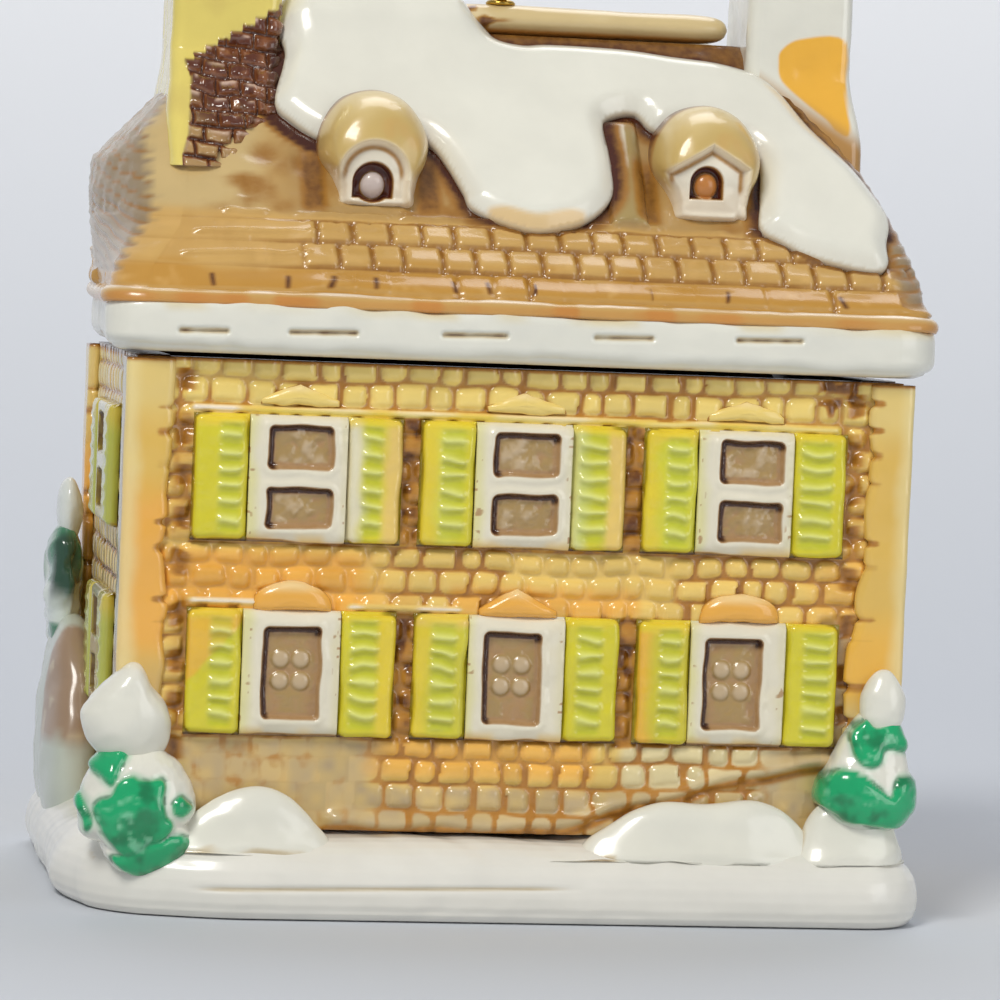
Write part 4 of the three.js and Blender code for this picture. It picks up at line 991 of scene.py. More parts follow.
@dataclass(frozen=True)
class Walls:
    """The stone walls: four relief slabs round a hollow."""

    half_width: float = 28.0
    half_depth: float = 18.0
    foot: float = 6.15
    top: float = 39.85
    thickness: float = 2.6
    corner: float = 3.55  # how far in from a hidden corner the stones stop
    front_corner: float = 2.2

    def stones(self, x: Array, z: Array, pitch: float, rows: Array, seed: int) -> tuple[Array, Array, Array]:
        """Rounded stones in broken courses.

        The rows lie between the given heights. Each row's joints stand one pitch apart, moved by up to
        a fifth of that, and both directions are bent by noise, so that no joint is straight.

        Returns:
            Height from 0 in the joint to 1 on the stone, distance to the joint, and a number per stone.
        """
        bend_x = x + 0.2 * noise(x, z, 2.6, seed) + 0.08 * noise(x, z, 0.9, seed + 3)
        bend_z = z + 0.17 * noise(x, z, 3.4, seed + 1) + 0.06 * noise(x, z, 1.1, seed + 2)
        row = np.clip(np.searchsorted(rows, bend_z) - 1, 0, len(rows) - 2)
        low, high = rows[row], rows[row + 1]
        along = bend_x / pitch + np.random.default_rng(seed + 5).uniform(0, 1, 64)[row % 64]
        cell = np.floor(along).astype(int)
        jitter = np.random.default_rng(seed + 6).uniform(-0.2, 0.2, TABLE)
        left = cell + jitter[(cell * 37 + row * 101) % TABLE]
        right = cell + 1 + jitter[((cell + 1) * 37 + row * 101) % TABLE]
        half = 0.5 * np.maximum(right - left, 0.3) * pitch - 0.07
        across = (along - 0.5 * (left + right)) * pitch
        away = box_distance(across, bend_z, (0, 0.5 * (low + high)), (half, 0.5 * (high - low) - 0.06), 0.55)
        ident = np.random.default_rng(seed + 7).uniform(0, 1, TABLE)[(cell * 53 + row * 197) % TABLE]
        return pillow(away, 0.72), away, ident

    def stony(self, x: Array, z: Array, half: float, corner: float) -> Array:
        """1 where the wall has stones, 0 in the smooth strips at its ends."""
        return 1 - smooth(-0.3, 0.2, box_distance(x, z, (0, 23.2), (half - corner, 20), 0.4))

    def front(self) -> Relief:
        """The front slab: worn patches, a ledge over the snow, recesses beside the shutters, paint by zones, a
        painted highlight on the ledges over the windows, and painted shade under the sills and under the eave.
        """
        w = self.half_width
        x, z = face_grid((-w, w), (self.foot, self.top), 0.16)
        rise, away, ident = self.stones(x, z, 2.2, FRONT_ROWS, 11)
        bumpy = self.stony(x, z, w, self.front_corner)
        worn = smooth(13.2, 12.2, z) * np.maximum(smooth(-8.5, -11.5, x), smooth(17.5, 19.5, x))
        worn = np.maximum(worn, smooth(22.0, 22.8, x) * smooth(23.0, 21.5, z))
        lumps = 0.5 + 0.5 * rough(x, z, 1.3, 31)
        height = bumpy * (rise * (1 - worn) + worn * lumps * 0.55) * 0.68 - 0.25 * bumpy
        ledge_at = 6.9 + 4.2 * smooth(2.0, 24.0, x) + 0.8 * smooth(2.5, 8.0, x) + 0.15 * np.sin(x * 0.9)
        ledge = bell(z - ledge_at, 0.6) * between(x, -14, -12.5, 23.5, 24.5)
        height = np.maximum(height, ledge * 0.7)
        for bay in FRONT_BAYS:
            hidden = box_distance(x, z, (bay.x, bay.sill + 4.55), (7.3, 4.3), 0.3)
            height = np.where(hidden < 0, np.minimum(height, 0.05), height)
        canvas = Canvas(x.shape, YELLOW)
        canvas.coat(
            (LEMON, smooth(35.6, 37.0, z)),
            (AMBER, between(z, 20.8, 22.0, 25.6, 26.8) * smooth(-7.5, -12, x + 2 * noise(x, z, 3, 5))),
            (AMBER, 0.8 * between(z, 21, 22, 23.4, 24.6) * spot(x, z, (2.0, 23.4), (7, 1.4))),
            (AMBER, 0.75 * between(z, 9.6, 10.6, 12.6, 13.6) * spot(x, z, (-2.4, 11.6), (8.5, 2.4))),
            (AMBER, 0.6 * smooth(20, 24, x) * between(z, 17, 19, 26, 29)),
            (PALE, spot(x, z, (14, 11.2), (6, 1.9))),
            (TAUPE, np.maximum(worn, smooth(9.9, 9.1, z)) * (0.75 + 0.25 * noise(x, z, 0.8, 8))),
            ((206, 184, 140), 0.6 * ledge),
        )
        canvas.shade(0.9 + 0.2 * ident)
        joint = smooth(-0.2, 0.05, away) * (1 - 0.75 * worn) + 0.4 * worn * smooth(0.45, 0.2, lumps)
        depth = 0.66 - 0.1 * smooth(35, 37, z) + 0.2 * rough(x, z, 7, 33)
        canvas.wash_and_shade(bumpy * joint * self.joint_wash(x, z) * depth)
        gaps = self.gaps(x, z)
        canvas.coat(((216, 164, 74), 0.85 * gaps))
        canvas.wash *= 1 - 0.6 * gaps
        canvas.wash_and_shade(
            gaps * (0.45 + 0.4 * smooth(0.3, -0.5, noise(x, z, 0.8, 49)) + 0.2 * smooth(0.9, 0.5, gaps)),
            0.8 * spot(x, z, (24.2, 38.6), (2.6, 1.5)) * smooth(-0.2, 0.4, noise(x, z, 0.6, 47)),
            # wash in the crease under the eave, with painted shadow of the eave
            0.8 * smooth(39.3, 39.8, z),
        )
        shine = bell(z - 36.2 - 0.12 * noise(x, 0 * x, 4, 43), 0.3) * smooth(24.0, 23.4, np.abs(x + 0.4))
        for middle, low, half in ((-21.3, 22.5, 2.6), (-8.2, 22.3, 4.2)):
            shine = np.maximum(shine, bell(z - low, 0.25) * spot(x, z, (middle, low), (half, 1)))
        height = np.maximum(height, 0.62 * shine)
        # yellow paint on the ledges, with a painted highlight on their tops
        canvas.coat((YELLOW, smooth(0.25, 0.6, shine)),
                    ((250, 236, 212), smooth(0.5, 0.95, shine) * smooth(-0.6, 0.2, noise(x, z, 2.3, 45))))
        canvas.wash *= 1 - smooth(0.3, 0.7, shine)
        quoin = smooth(-0.3, 0.3, np.sin(z * 1.95 + 1.2 * noise(x, z, 4.0, 51)))
        beside = bell(np.abs(x) - 24.5, 0.75) * (1 - 0.85 * quoin) * smooth(7, 9, z)
        height -= 0.25 * beside * bumpy
        canvas.wash_and_shade(0.7 * beside)
        # painted shade on the wall just under the sills, below the frames and shutters, over wash in that crease
        for low in (LOWER_SILL, UPPER_SILL):
            under = bell(z - low + 0.1, 0.16) * smooth(24.2, 23.8, np.abs(x))
            canvas.wash_and_shade(0.85 * under * (0.6 + 0.4 * noise(x, z, 3.0, 37)))
        band = between(z, 35.7, 36.0, 36.2, 36.5) * smooth(24.2, 23.6, np.abs(x))
        canvas.coat((CITRON, 0.7 * band * smooth(-0.5, 0.3, noise(x, 0 * z, 5, 39))))
        canvas.wash_and_shade(0.65 * bell(z - ledge_at + 0.8, 0.4) * between(x, -15, -13, 24, 25))
        return x, z, height, canvas

    @staticmethod
    def gaps(x: Array, z: Array) -> Array:
        """Where the wall is sunk and dark between the shutters of neighbouring bays."""
        gaps = 0 * x
        upper, lower = (26.6, 27.0, 35.8, 36.2), (12.4, 12.8, 21.8, 22.2)
        for share, middle, at, half, floor in (
            (1, -8.2, 31.3, 0.75, upper), (1, 8.2, 31.3, 0.75, upper), (0.35, -24.6, 31.3, 0.8, upper),
            (0.35, 24.6, 31.3, 0.8, upper), (1, -8.2, 17.3, 0.75, lower), (1, 8.2, 17.3, 0.75, lower),
            (0.3, -24.5, 17, 0.6, lower),
        ):
            gaps = np.maximum(gaps, share * spot(x, z, (middle, at), (half, 6)) * between(z, *floor))
        return gaps

    @staticmethod
    def joint_wash(x: Array, z: Array) -> Array:
        """How much wash the painter left in the joints: patches of it are covered by yellow."""
        keep = 0.85 - 0.6 * between(z, 21.4, 22, 26.6, 27.2) * smooth(-8.5, -11, x)
        keep -= 0.65 * between(z, 21.4, 22, 26.4, 27) * spot(x, z, (5.5, 24.6), (6.2, 2.5))
        keep -= 0.35 * smooth(14, 13, z) * spot(x, z, (1.5, 12.3), (6, 1.2))
        keep -= 0.35 * smooth(37.2, 38.2, z) * smooth(-16, -19, x)
        return np.clip(keep + 0.25 * rough(x, z, 5, 77), 0.08, 1)

    def plain(self, half: float, seed: int, muted: bool) -> Relief:
        """A side or back slab in its own plane: even stones in yellow with a brown wash, and painted shadow of
        the eave along its top.

        Args:
            half: half its width.
            seed: of its stones.
            muted: True where the stones are shallow and greyed over towards the front.
        """
        x, z = face_grid((-half, half), (self.foot, self.top), 0.22)
        rise, away, ident = self.stones(x, z, 2.5, np.arange(4.2, 42.0, 1.9), seed)
        bumpy = self.stony(x, z, half, self.corner)
        height = bumpy * (rise * 0.2 - 0.05 if muted else rise * 0.68 - 0.25)
        canvas = Canvas(x.shape, YELLOW)
        canvas.coat((LEMON, smooth(33, 38, z)), (AMBER, 0.6 * smooth(0.1, 0.7, rough(x, z, 9, seed + 9))),
                    (TAUPE, 0.7 * smooth(12, 8, z)))
        if muted:
            canvas.coat(((166, 158, 118), 0.7 * smooth(4.0, 12.0, x) + 0.3))
        canvas.shade(0.9 + 0.2 * ident)
        canvas.wash_and_shade(bumpy * smooth(-0.22, 0.06, away) * np.clip(0.75 + 0.35 * rough(x, z, 6, seed), 0.1, 1),
                     # wash in the crease under the eave, with painted shadow of the eave
                     smooth(39.0, 39.8, z))
        return x, z, height, canvas

    def build(self, shelf: Shelf) -> None:
        """Makes the four slabs; the side ones are cut off where they meet the front and back ones."""
        inner = self.half_depth - self.thickness
        piece = Plane(0, self.half_depth, inner).cast("wall_front", *self.front())
        shelf.dress(piece, Finish.STONE, "wall_shell")
        for name, quarter, seed in (("wall_right", 1, 21), ("wall_back", 2, 41), ("wall_left", 3, 61)):
            whole, out = self.half_depth, self.half_width
            if quarter == 2:
                whole, out = out, whole
            x, z, height, canvas = self.plain(whole, seed, quarter == 3)
            kept = numbers(*x.shape)[:, np.abs(x[0]) <= (whole if quarter == 2 else inner) + 1e-6]
            canvas.take(kept)
            x, z, height = (field.reshape(-1)[kept] for field in (x, z, height))
            piece = Plane(quarter, out, out - self.thickness).cast(name, x, z, height, canvas)
            shelf.dress(piece, Finish.STONE, "wall_shell")


@dataclass(frozen=True)
class CornerStrip:
    """A smooth strip round a corner of the walls, with small cuts in its inner edges.

    Args:
        node: the CAD node that it stands for.
        side_x, side_y: the corner's signs.
        reach: its width on each face.
        proud: how far it stands out from the wall.
        soft: the radius of its arris.
    """

    node: str
    side_x: int
    side_y: int
    reach: float = 3.3
    proud: float = 0.82
    soft: float = 0.55

    def build(self, shelf: Shelf) -> None:
        """Its section runs down the side face, round the corner, along the front face and back inside.

        A section point is (a, b) in from the corner's two faces: both faces run from the arris to the
        edge, with a bead of 0.3 mm there. The edge waves, and widens downwards on the right.
        """
        walls, left = Walls(), self.side_x < 0
        z = np.arange(walls.foot, walls.top + 0.01, 0.25)[:, None]
        phase = z / 1.9 + 0.35 * noise(z, z * 0, 4, 3)
        cut = smooth(0.2, 0.08, np.abs(phase - np.round(phase)))
        cut = cut * smooth(-0.3, 0.3, noise(z, z * 0 + self.side_x, 1.9, 11))
        edge = self.reach + 0.3 * noise(z, z * 0 + self.side_x, 2.1, 9) - 0.35 * cut
        edge = edge + (0 if left else 0.8 * smooth(30, 18, z))
        q = np.linspace(0, 1, 22)[None, :]
        bend = np.linspace(0, math.pi / 2, 8)[None, -2:0:-1]
        bead = 0.3 * (1 - dome(smooth(0.75, 1.0, q)))
        front = self.soft + (edge - self.soft) * q
        inner = self.proud - 0.02

        def section(*runs: Array | float) -> Array:
            """One coordinate of the section, run after run, for every height."""
            return np.concatenate([run + 0 * z for run in runs], 1)

        a = section(bead[:, ::-1], self.soft - self.soft * np.sin(bend), front, edge, inner, inner)
        b = section(front[:, ::-1], self.soft - self.soft * np.cos(bend), bead, inner, inner, edge)
        along = a - b
        out = self.proud - 0.05 * rough(along, z + 0 * a, 2.5, 7)
        points = xyz(self.side_x * (walls.half_width + out - a), self.side_y * (walls.half_depth + out - b), z)
        if self.side_x * self.side_y < 0:
            points, along = points[:, ::-1], along[:, ::-1]
        zz, width = z + 0 * along, np.abs(along)
        tone, low = zz + 2 * rough(along, zz, 4, 12), smooth(19.5, 16, zz) if left else smooth(17, 14, zz)
        canvas = Canvas(along.shape, (230, 188, 92))
        canvas.coat(
            ((234, 204, 124), smooth(33, 38, zz + 2 * rough(along, zz, 4, 2))),
            (AMBER, smooth(33, 29, tone) * smooth(17, 20, zz) if left else 0),
            (TANGERINE, 0 if left else 0.75 * between(zz, 15, 18, 20, 24)),
            ((214, 176, 104) if left else (214, 190, 130), low),
            # paler along the arris: a painted highlight on the rounded corner
            ((240, 220, 156), 0.7 * smooth(1.5, 0.3, width + 0.5 * rough(along, zz, 3, 4))),
        )
        if left and self.side_y < 0:
            canvas.coat(((176, 166, 126), smooth(-0.3, -0.7, along)))
            canvas.wash_and_shade(0.85 * bell(along + 0.75, 0.2) * smooth(-0.6, 0.1, noise(along, zz, 1.4, 13)))
        canvas.wash_and_shade(0.9 * smooth(0.4, 0.02, edge - width) * (width > 0.4),
                     # wash in the cuts; at the top, wash in the crease under the eave with painted shadow of the
                     # eave
                     0.55 * cut * smooth(2.0, 2.6, width), smooth(39.2, 39.8, zz))
        shelf.dress(loft(f"strip_{self.node}", points, canvas), Finish.QUOIN, self.node)


# eave and roof


LEFT_END = np.array([  # share of the rise; mm past the half width at the front corner, the middle and the back
    (0, 0.5, -0.6, -1.6), (0.13, -0.3, -0.2, -1.6), (0.27, -2.5, 0.3, -2.5), (0.39, -3.1, 0.5, -3.1),
    (0.5, -3.2, 0.4, -3.2), (0.6, -3.4, -1.6, -3.4), (0.72, -5.1, -4.0, -5.1), (1, -11.0, -11.0, -11.0),
])


def bowed(rings: Array, half_x: Array, half_y: Array, plain: float, bow: Array) -> Array:
    """Gives each ring's left end its own bow.

    With a = y / half depth, its reach is plain + m + (b - f) a / 2 + ((f + b) / 2 - m) a^2: plain + f at
    the front corner, plain + m in the middle and plain + b at the back corner.

    Args:
        rings: (rows, columns, 3) points.
        half_x, half_y: each ring's half sizes.
        plain: the half width that the bows are measured from.
        bow: (rows, 3) mm past it at the front corner, in the middle and at the back corner.
    """
    front, middle, back = split(bow[:, None])
    x, y, z = split(rings)
    at = y / half_y[:, None]
    out = middle + 0.5 * (back - front) * at + (0.5 * (front + back) - middle) * at**2
    return xyz(np.where(x < 0, x * (plain + out) / half_x[:, None], x), y, z)


@dataclass(frozen=True)
class Eave:
    """The band of snow along the eave, with short brown slots."""

    half_x: float = 30.3
    half_y: float = 20.5
    foot: float = 40.15
    top: float = 43.75
    corner: float = 3.2
    bow: tuple[float, float, float] = (0.4, -1.2, -1.7)
    slots: tuple[tuple[float, float], ...] = ((-23.6, 3.6), (-15.1, 5.0), (-4.2, 4.8), (6.6, 4.4), (17.3, 5.0))
    slot_height: float = 42.2

    def build(self, shelf: Shelf) -> None:
        """Rings with a full round face; the lower edge waves in and out, and the slots are sunk in it."""
        plan = RingPlan(110, 150, 110, 420)
        t = np.linspace(0, 1, 34)
        bulge = np.where(t < 0.5, 1.15, 0.4) * (1 - dome((2 * t - 1) ** 2))
        half_x, half_y = self.half_x - bulge, self.half_y - bulge
        rings = plan.rings(half_x, half_y, self.corner, self.foot + (self.top - self.foot) * t)
        rings = bowed(rings, half_x, half_y, self.half_x, np.array(self.bow) - bulge[:, None])
        x, y, z = split(rings)
        t, flat = t[:, None], 0 * x
        lump = 0.12 * rough(x + 40, z * 2 + y, 5.0, 61) + 0.05 * noise(x, z + y, 1.3, 63)
        dash = flat
        for middle, length in self.slots:
            past = np.maximum(np.abs(x - middle) - length / 2 + 0.2, 0)
            dash = np.maximum(dash, bell(np.hypot(past, z - self.slot_height - 0.02 * x), 0.2) * plan.on(3))
        drip = 0.35 * smooth(0.35, 0.0, t) * (0.5 + 0.5 * noise(x + y, flat, 3.4, 65))
        height = (lump - 0.45 * dash - drip) * between(t, 0, 0.06, 0.94, 1)
        rings[..., 2] += 0.3 * noise(x + y, flat, 2.2, 69) * smooth(0.7, 1.0, t)
        canvas = Canvas(x.shape, SNOW)
        dull = smooth(0.72, 0.98, t) * smooth(-0.6, 0.2, noise(x + y, z, 2.6, 71))
        canvas.coat(((222, 204, 156), 0.7 * dull))
        # wash in the slots; along the lower edge, wash and painted shade on the band's underside
        canvas.wash_and_shade(0.95 * dash * (0.7 + 0.3 * noise(x, z, 0.7, 67)), 0.35 * smooth(0.07, 0.0, t))
        shelf.dress(loft("snow_eave", puffed(rings, height), canvas), Finish.SNOW, "eave_snow")


ROOF_FOOT, ROOF_RISE, ROOF_SLOPE = 43.4, 21.0, 27.92
ROOF_HALF_X, ROOF_HALF_Y, ROOF_IN, END_IN = 29.9, 20.1, 18.4, 11.0  # half sizes, and how far each end draws in
RIDGE_FROM, RIDGE_BEND = 27.2, 2.6  # mm up the slope where the snow's path bends over the ridge, and its radius


def on_slope(x: Array, s: Array, lift: Array | float, side: int) -> Array:
    """A point of a slope: s mm up it from the eave, round the ridge past RIDGE_FROM, and lift mm out from it.

    The path turns by twice the normal's angle from upright, on a circle, then runs down the other slope.
    """
    lean = math.atan2(ROOF_RISE, ROOF_IN)
    angle = lean - np.clip((s - RIDGE_FROM) / RIDGE_BEND, 0, 2 * lean)
    straight = np.minimum(s, RIDGE_FROM) / ROOF_SLOPE
    past = np.maximum(s - RIDGE_FROM - 2 * lean * RIDGE_BEND, 0)
    out, up = np.sin(angle), np.cos(angle)
    y = ROOF_HALF_Y - straight * ROOF_IN - RIDGE_BEND * math.sin(lean) + (RIDGE_BEND + lift) * out - past * up
    z = ROOF_FOOT + straight * ROOF_RISE - RIDGE_BEND * math.cos(lean) + (RIDGE_BEND + lift) * up + past * out
    return xyz(x, side * y, z)


SNOW_EDGE = Outline((
    (-16.9, 30.6), (-17.4, 28.6), (-17.3, 27.0), (-16.7, 25.0), (-16.9, 23.2), (-17.7, 19.5), (-16.6, 17.8),
    (-14.6, 16.2), (-13.0, 16.6), (-10.4, 17.4), (-7.9, 17.0), (-6.0, 15.5), (-4.4, 11.8), (-4.0, 10.3),
    (-3.0, 9.4), (-1.4, 8.6), (0.8, 8.0), (3.0, 8.5), (4.7, 9.3), (6.3, 10.9), (6.9, 12.5), (6.9, 15.6),
    (6.7, 18.7), (7.6, 19.7),
    (9.3, 20.0), (10.6, 18.4), (14.2, 17.6), (17.0, 17.4), (18.2, 15.6), (17.9, 12.0), (17.6, 9.2), (19.0, 8.0),
    (20.8, 6.8), (23.8, 5.8), (25.9, 5.5), (26.8, 6.2), (26.9, 8.0), (27.3, 9.6), (27.3, 11.0), (26.6, 12.8),
    (25.0, 15.9), (22.4, 19.5), (19.9, 23.8), (16.8, 25.4), (12.5, 26.0), (8.7, 26.5), (3.3, 26.6), (1.3, 26.4),
    (-0.8, 27.0), (-1.7, 28.8), (-2.0, 31.6), (-3.2, 33.8), (-9.0, 34.5), (-15.4, 34.0),
))
SNOW_EDGE_BACK = Outline((
    (-22.5, 26.0), (-23.4, 20.0), (-22.0, 14.5), (-18.0, 11.5), (-13.5, 9.2), (-9.0, 10.4), (-4.5, 13.2),
    (0.5, 13.6), (5.5, 10.6), (9.5, 8.0), (13.5, 8.4), (17.0, 11.2), (20.6, 14.4), (24.0, 18.6), (22.6, 23.6),
    (18.0, 27.4), (8.0, 28.4), (-6.0, 28.6), (-17.0, 28.0),
))


@dataclass(frozen=True)
class Field:
    """The roof's places, all as one (rows, columns) grid, and where the parts of its modelling lie.

    Args:
        x, y: mm to the right and to the back.
        s: mm up the slope from the eave.
        along: mm along the side that the point stands on.
        front, end: 1 on the front slope and on the two ends.
        left, right: how much of the plain left end and of the plain right hip this is.
    """

    x: Array
    y: Array
    s: Array
    along: Array
    front: Array
    end: Array
    left: Array
    right: Array

    def hip(self, shift: float = 0.0) -> Array:
        """1 left of the left hip line, shift mm further left; the line is notched like a saw."""
        line = np.interp(self.s, [1.6, 5.1, 8.5, 16.6, 20.0, 27.0], [-30.3, -28.8, -26.9, -27.2, -25.2, -18.9])
        return smooth(0.3, -0.3, self.x - shift - line + 0.25 * np.sin(self.s * 5.4))

    def strokes(self) -> Array:
        """Phase of the fine strokes on the ends: one each 1.1 mm up the slope, rising to the back."""
        return (self.s - self.y * 0.22 + 0.35 * noise(self.y, self.s, 3, 90)) * 5.6

    def hollows(self) -> Array:
        """Two dents in the bare slope beside the left dormer, as bells."""
        dents = ((18.6, 1.3, 15.0, 1.3), (16.1, 0.8, 14.0, 1.1))
        return self.front * sum(bell(np.hypot((self.x + x) / a, (self.s - s) / b), 1) for x, a, s, b in dents)


@dataclass(frozen=True)
class Roof:
    """The roof casting: a rolled edge course and three courses of tiles under a plain, lumpy slope."""

    courses: tuple[float, ...] = (0.0, 1.5, 3.9, 6.3, 8.4)
    stagger: tuple[float, ...] = (0.0, 0.1, 0.55, 0.05, 0.5)
    tile: float = 2.5
    post: float = 7.9  # middle of the upright post between the dormers
    ledges: tuple[tuple[float, ...], ...] = (  # mm up the slope, tilt, from and to along X, half thickness
        (9.1, 0.0, -22, 20, 0.2), (9.9, -0.05, -21, -8, 0.15), (7.2, 0.03, -24, -15, 0.2),
        (5.2, 0.03, -25, -16, 0.2), (10.8, 0.0, -22, -14, 0.15),
    )

    def build(self, shelf: Shelf) -> None:
        """Rings of the hipped form, pushed out by the courses, tiles, hollows and strokes.

        With t the share of the rise, the half width is 29.9 - 11 t^2 and the half depth 20.1 - 18.4 t.
        """
        plan = RingPlan(120, 190, 130, 400, 7)
        s = np.concatenate([np.arange(0, 9.6, 0.15), np.linspace(9.75, ROOF_SLOPE, 42)])
        t = s / ROOF_SLOPE
        half_x, half_y = ROOF_HALF_X - END_IN * t**2, ROOF_HALF_Y - ROOF_IN * t
        rings = plan.rings(half_x, half_y, 2.4, ROOF_FOOT + ROOF_RISE * t)
        ends = np.stack([np.interp(t, LEFT_END[:, 0], LEFT_END[:, i]) for i in (1, 2, 3)], 1)
        rings = bowed(rings, half_x, half_y, ROOF_HALF_X, ends)
        x, y, s = rings[..., 0], rings[..., 1], s[:, None] + 0 * rings[..., 0]
        along = np.where(plan.on(1, 3) > 0, x, y + 100)
        begun = smooth(1.6, 2.4, s)
        right = smooth(-2.8, -1.4, x - ROOF_HALF_X + END_IN * (s / ROOF_SLOPE) ** 2) * begun
        field = Field(x, y, s, along, plan.on(3), plan.on(0, 2), 0 * x, right)
        field = replace(field, left=field.hip() * begun)
        height, joint, lip = self.relief(field)
        skin = puffed(rings, height * smooth(ROOF_SLOPE, ROOF_SLOPE - 1.5, s))
        canvas = Canvas(x.shape, TAN)
        self.brush(canvas, field, joint, lip)
        number = numbers(*x.shape)
        canvas.take(np.concatenate([number[:1], number]))
        points = np.concatenate([rings[:1] * np.array([0.96, 0.94, 1.0]), skin])
        shelf.dress(loft("roof_tiles", points, canvas), Finish.SHINGLE, "roof_shell")

    def relief(self, field: Field) -> tuple[Array, Array, Array]:
        """Height out of the plain form.

        Each course is thick at its lower edge and thins upwards; tiles are parted by short joints,
        staggered by half a tile; the edge course is a roll; above them the slope is lumpy; the ends
        carry fine strokes instead of tiles.

        Args:
            field: the roof's places.

        Returns:
            Height in mm, joint depth 0 to 1, and how much of a lip this is.
        """
        x, y, s, along, left = field.x, field.y, field.s, field.along, field.left
        marks = np.array(self.courses)
        wave = s + 0.1 * noise(along, s, 4.0, 81) + 0.05 * noise(along, s, 1.2, 82)
        index = np.clip(np.searchsorted(marks, wave, side="right") - 1, 0, len(marks) - 1)
        low, high = marks[index], np.append(marks[1:], marks[-1] + 2.2)[index]
        t = np.clip((wave - low) / (high - low), 0, 1)
        tiled, edge = smooth(8.6, 8.4, wave) * (1 - left), index == 0
        bare = smooth(-15.0, -17.5, x + 0.5 * noise(x, s, 2, 5)) * (y < 0) * (index > 0)
        cell = along / self.tile + np.array(self.stagger)[index]
        cell = cell + 0.1 * noise(along, s * 0 + index * 3.0, 2.5, 84)
        gap = np.abs(cell - np.round(cell)) * self.tile
        tones = np.random.default_rng(85).uniform(0, 1, TABLE)
        tone = tones[(np.round(cell - 0.5).astype(int) * 31 + index * 77) % TABLE]
        wedge = 0.5 * dome(1 - np.clip(t / 0.28, 0, 1)) * (1 - 0.75 * smooth(0.25, 1.0, t))
        roll = 0.62 * np.sqrt(np.maximum(np.sin(np.clip(t * 0.9 + 0.08, 0, 1) * math.pi), 0))
        sparse = np.where(index == 1, 0.8 * smooth(0.1, 0.3, noise(np.round(cell) * 3.0, 0 * s, 1.0, 86)), 1.0)
        joint = bell(gap, 0.23) * (1 - bare) * tiled * (1 - edge) * (1 - 0.65 * field.end) * sparse
        height = np.where(edge, roll, wedge) * tiled * (1 - 0.85 * field.right)
        height *= 1 - bare * (0.55 + 0.35 * smooth(-21, -25, x))
        height -= 0.3 * joint - 0.07 * (tone - 0.5) * tiled * (1 - edge)
        post = dome(np.clip((x - self.post) / 1.4, -1, 1)) * between(s, 8.8, 9.4, 18.8, 19.6)
        height += 0.8 * post * field.front
        lumps = 0.16 * rough(along, s, 3.2, 87) + 0.05 * noise(along, s, 0.9, 88) - 0.35 * field.hollows()
        height += (1 - smooth(8.6, 8.4, wave)) * lumps
        ledge = 0 * x
        for at, tilt, start, end, thin in self.ledges:
            run = between(x, start - 0.5, start + 0.5, end - 0.5, end + 0.5) * field.front
            broken = smooth(-0.5, 0.1, noise(x, s, 1.7, 89 + int(at)))
            ledge = np.maximum(ledge, bell(s - at - tilt * (x + 16), thin) * run * broken)
        height += 0.3 * ledge + 0.05 * np.maximum(left, field.right) * np.sin(field.strokes())
        lip = edge * smooth(1.0, 0.8, t) + 0.6 * (1 - edge) * tiled * between(t, 0.02, 0.06, 0.12, 0.2)
        return height, np.clip(joint, 0, 1), lip

    def brush(self, canvas: Canvas, field: Field, joint: Array, lip: Array) -> None:
        """Tan tiles, a rust edge course with a lip, a beige bare slope with an upright post, and grey-brown
        ends; the lip and the post carry painted highlights.
        """
        x, y, s, along, front = field.x, field.y, field.s, field.along, field.front
        end, tiles = np.maximum(field.left, field.right), smooth(9.2, 8.8, s)
        notch = smooth(-0.3, 0.3, noise(along, 0 * s, 1.7, 95))
        post = front * smooth(1.5, 1.2, np.abs(x - self.post)) * between(s, 8.8, 9.4, 19.2, 19.8)
        grey = end * smooth(1.8, 3.2, s)
        canvas.coat(
            ((196, 152, 84), 0.6 * smooth(-0.2, 0.6, rough(along, s, 3.0, 91))),
            (RUST, 0.8 * smooth(4.6, 3.4, s + 0.7 * noise(along, s, 3, 92))),
            ((222, 178, 108), 0.5 * smooth(0.2, 0.7, rough(along, s, 1.8, 93)) * tiles),
            ((206, 178, 122), smooth(8.6, 10.0, s) * smooth(-16.0, -20.0, x)),
            ((180, 144, 88), smooth(8.6, 9.4, s) * smooth(-20, -16, x)),
            ((202, 160, 92), lip),
            # painted highlight: a broken pale line along the rolled edge
            ((250, 236, 214), 0.9 * lip * bell(s - 1.1 - 0.1 * notch, 0.22) * notch),
            ((200, 132, 62), 0.9 * smooth(0.95, 0.55, s + 0.2 * notch) * (1 - 0.6 * notch)),
            ((170, 146, 92), post),
            # painted highlight: a pale streak down the post's round face
            ((226, 218, 194), post * smooth(0.5, 0.3, np.abs(x - 7.8)) * smooth(14, 15, s)),
            (GREY_TAN, grey * 0.92),
        )
        hip = field.hip()
        line = hip * (1 - field.hip(0.45)) * smooth(-0.3, 0.4, np.sin(s * 5.4)) * smooth(2, 3, s) * (y < 0)
        nearest = np.min(np.abs(s[..., None] - 0.04 - np.array(self.courses[1:])), -1)
        course = bell(nearest, 0.17) * tiles * (0.75 + 0.25 * noise(along, s, 2, 97)) * (s > 2.5) * (1 - end)
        dash = bell(((along + 0.4 * noise(along, s, 2, 3)) / 2.9 - np.round(along / 2.9)) * 2.9, 0.25)
        dash = dash * between(s, 1.7, 2.0, 3.0, 3.3) * (noise(along, 0 * s, 3.1, 99) > 0.1) * (1 - end)
        away = SNOW_EDGE.distance(x, s)
        right_hip = between(x - 27.9 + END_IN * (s / ROOF_SLOPE) ** 2, -1.2, 0.0, 0.0, 1.2)
        soot = smooth(-0.1, 0.6, rough(x * 0.7, s, 2.6, 103)) * smooth(8.4, 9.4, s)
